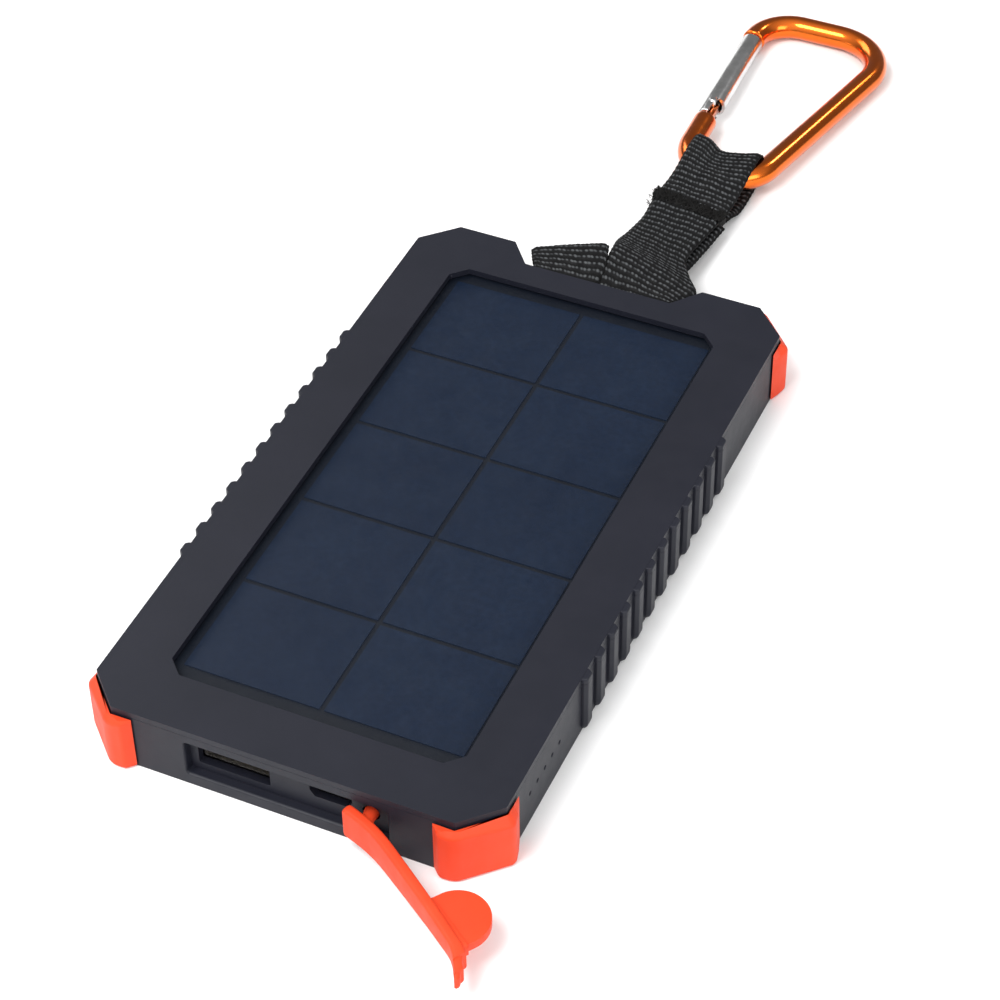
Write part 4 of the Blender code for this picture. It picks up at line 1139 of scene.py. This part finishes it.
def make_hook(m):
    """The bent wire with its two tongues, the slotted tube of the gate and the gate's rivet."""
    points = [gate_side(GATE_Y0 - 0.6)]
    points += [Vector((x, y - HOOK_AXIS.y, 0.0)) for x, y in fillet(HOOK_CORNERS, 28)]
    points.append(gate_side(GATE_Y1 + 0.5))
    dense = []
    for a, b in zip(points, points[1:]):
        pieces = max(int((b - a).length / 1.2), 1)
        dense += [a.lerp(b, k / pieces) for k in range(pieces)]
    dense.append(points[-1])
    start = (dense[1] - dense[0]).normalized()
    end = (dense[-1] - dense[-2]).normalized()
    path, radii = [], []
    for depth, r in WIRE_END:
        path.append(dense[0] + start * depth)
        radii.append(r)
    for point in dense[1:-1]:
        if (point - dense[0]).length > 0.7 and (point - dense[-1]).length > 0.7:
            path.append(point)
            radii.append(WIRE_R)
    for depth, r in reversed(WIRE_END):
        path.append(dense[-1] - end * depth)
        radii.append(r)
    body = tube("hook_wire", [tuple(p) for p in path], radii, m["orange"], 44)
    pivot = gate_side(PIVOT_Y)
    low = gate_side(GATE_Y0 - 1.5)
    nose = gate_side(GATE_Y1)
    tang = box("tang", (pivot.x - 1.3, low.y, -0.8), (pivot.x + 1.3, pivot.y + 0.9, 0.8), m["orange"], 0.25)
    tongue_low, tongue_high = (nose.x - 1.5, nose.y - 2.4, -0.7), (nose.x + 0.2, nose.y + 1.5, 0.7)
    tongue = box("tongue", tongue_low, tongue_high, m["orange"], 0.2)
    join(body, tang, tongue)
    up = Vector((0.0, 0.0, 3.0))
    cut(body, rod("rivet_hole", pivot - up, pivot + up, 0.85))
    finish_piece(put_hook(body), "hook", "orange_anodised", "hook_body")

    base, top = gate_side(GATE_Y0), gate_side(GATE_Y1)
    over = (top - base).normalized()
    gate = rod("gate_tube", base, top, GATE_R, m["silver"], 56, rim=0.3)
    cut(
        gate,
        rod("gate_bore", base - over, top + over, GATE_BORE, None, 40),
        rod("gate_rivet_hole", pivot - up, pivot + up, 0.8),
        prism("foot_slot", [rectangle(pivot.x + 0.3, pivot.x + 4.0, base.y - 1.0, pivot.y + 1.2)], -3.0, 3.0),
        prism("nose_slot", [rectangle(top.x - 3.0, top.x + 0.5, top.y - 2.8, top.y + 1.0)], -1.0, 1.0),
    )
    finish_piece(put_hook(smooth(gate, 40.0)), "gate", "gate_silver", "hook_gate")
    reach = Vector((0.0, 0.0, GATE_R + 0.25))
    heads = [rod("rivet_shank", pivot - reach * 0.9, pivot + reach * 0.9, 0.65, m["silver"], 24)]
    for sign in (-1, 1):
        seat = pivot + reach * (sign * 0.84)
        crown = seat + Vector((0, 0, sign * 0.4))
        heads.append(rod("rivet_head", seat, crown, 1.0, m["silver"], 28, radius_end=0.55, rim=0.1))
    finish_piece(put_hook(gather("gate_rivet_heads", heads)), "gate", "gate_silver", "gate_rivet")


# ---- finishes on the carried-over nodes
def dress(m):
    """Gives every carried-over node its material; those that a piece replaces get the case's."""
    wanted = {
        "battery_cell": "foil", "battery_lead_black": "black", "battery_lead_red": "red",
        "panel_lead_black": "black", "panel_lead_red": "red", "circuit_board": "board",
        "controller_chip": "chip", "power_inductor": "ferrite", "foam_pad_1": "foam", "foam_pad_2": "foam",
        "panel_board": "panel", "window_sheet": "sheet", "gate_spring": "steel", "gate_plunger": "steel",
        "nose_pin": "steel", "port_cover_anchor": "rubber",
    }
    wanted.update({f"case_screw_{n}": "screw" for n in range(1, 5)})
    wanted.update({f"status_led_{n}": "led" for n in range(1, 6)})
    wanted.update({f"solar_cell_{c}_{r}": "cell" for c in (1, 2) for r in range(1, 6)})
    for name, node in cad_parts.items():
        node.data.materials.clear()
        node.data.materials.append(m[wanted.get(name, "case")])


# ---- studio
LAMPS = (                      # name, place in metres, size in metres, power
    ("key", (-0.22, -0.45, 0.90), 0.45, 8.5),
    ("fill", (0.75, -0.30, 0.45), 0.5, 3.0),
    ("back", (-0.75, 0.45, 0.55), 0.5, 3.0),
    ("strip", (0.40, 0.95, 0.86), 0.16, 1.6),
)
AIM = Vector((0.0, 0.03, 0.0))


def make_studio():
    """A pale floor, a sky that is brighter towards the front, and four soft lamps."""
    mat, tree, shader, place = nodes_of("pale_floor")
    tones = ((0.3, grey(0.90)), (0.7, grey(0.93)))
    tree.links.new(ramp(tree, noise(tree, place, 3.0), tones), shader.inputs["Base Color"])
    tree.links.new(spread(tree, noise(tree, place, 20.0), 0.55, 0.7), shader.inputs["Roughness"])
    shape = bmesh.new()
    bmesh.ops.create_grid(shape, x_segments=1, y_segments=1, size=4.0)
    floor = new_object("floor", baked(shape, "floor"), mat)
    floor.location.z = -0.00002

    world = bpy.data.worlds.new("studio")
    bpy.context.scene.world = world
    world.use_nodes = True
    sky = world.node_tree
    toward = sky.nodes.new("ShaderNodeVectorMath")
    toward.operation = "DOT_PRODUCT"
    sky.links.new(sky.nodes.new("ShaderNodeTexCoord").outputs["Generated"], toward.inputs[0])
    toward.inputs[1].default_value = (0.10, -0.60, 0.62)
    level = spread(sky, toward.outputs["Value"], 0.0, 1.0, -0.15, 0.85)
    stops = ((0.0, grey(0.22)), (0.30, grey(0.30)), (0.62, grey(0.75)), (1.0, grey(1.25)))
    sky.links.new(ramp(sky, level, stops), sky.nodes["Background"].inputs["Color"])
    sky.nodes["Background"].inputs["Strength"].default_value = 1.0
    for name, where, size, power in LAMPS:
        data = bpy.data.lights.new(name, "AREA")
        data.shape = "SQUARE"
        data.size = size
        data.energy = power
        lamp = placed(name, data)
        lamp.location = where
        lamp.rotation_euler = (AIM - Vector(where)).to_track_quat("-Z", "Y").to_euler()
    bpy.context.scene.view_settings.view_transform = "Standard"


def make_camera():
    """The camera stands to the right of the socket end and looks down on the case."""
    azimuth, elevation, roll = math.radians(24.88), math.radians(43.70), math.radians(-1.02)
    data = bpy.data.cameras.new("camera")
    data.sensor_width = 36.0
    data.lens = 103.81
    data.clip_start = 0.02
    data.clip_end = 20.0
    camera = placed("camera", data)
    camera.location = (0.16240, -0.33259, 0.36475)
    away = Matrix.Rotation(azimuth, 4, "Z") @ Matrix.Rotation(math.pi / 2 - elevation, 4, "X")
    camera.rotation_euler = (away @ Matrix.Rotation(roll, 4, "Z")).to_euler()
    bpy.context.scene.camera = camera


def main():
    """Builds every piece, then the stage."""
    m = make_materials()
    dress(m)
    make_cover(m)
    make_tub(m)
    for end_name, end in (("front", -1), ("back", 1)):
        for side_name, side in (("left", -1), ("right", 1)):
            make_bumper(m, end, side, f"bumper_{end_name}_{side_name}")
    make_bar(m)
    make_usb_a(m)
    make_micro_usb(m)
    make_port_cover(m)
    make_wraps(m)
    make_run(m)
    make_loop(m)
    make_tack(m)
    make_hook(m)
    make_studio()
    make_camera()


main()
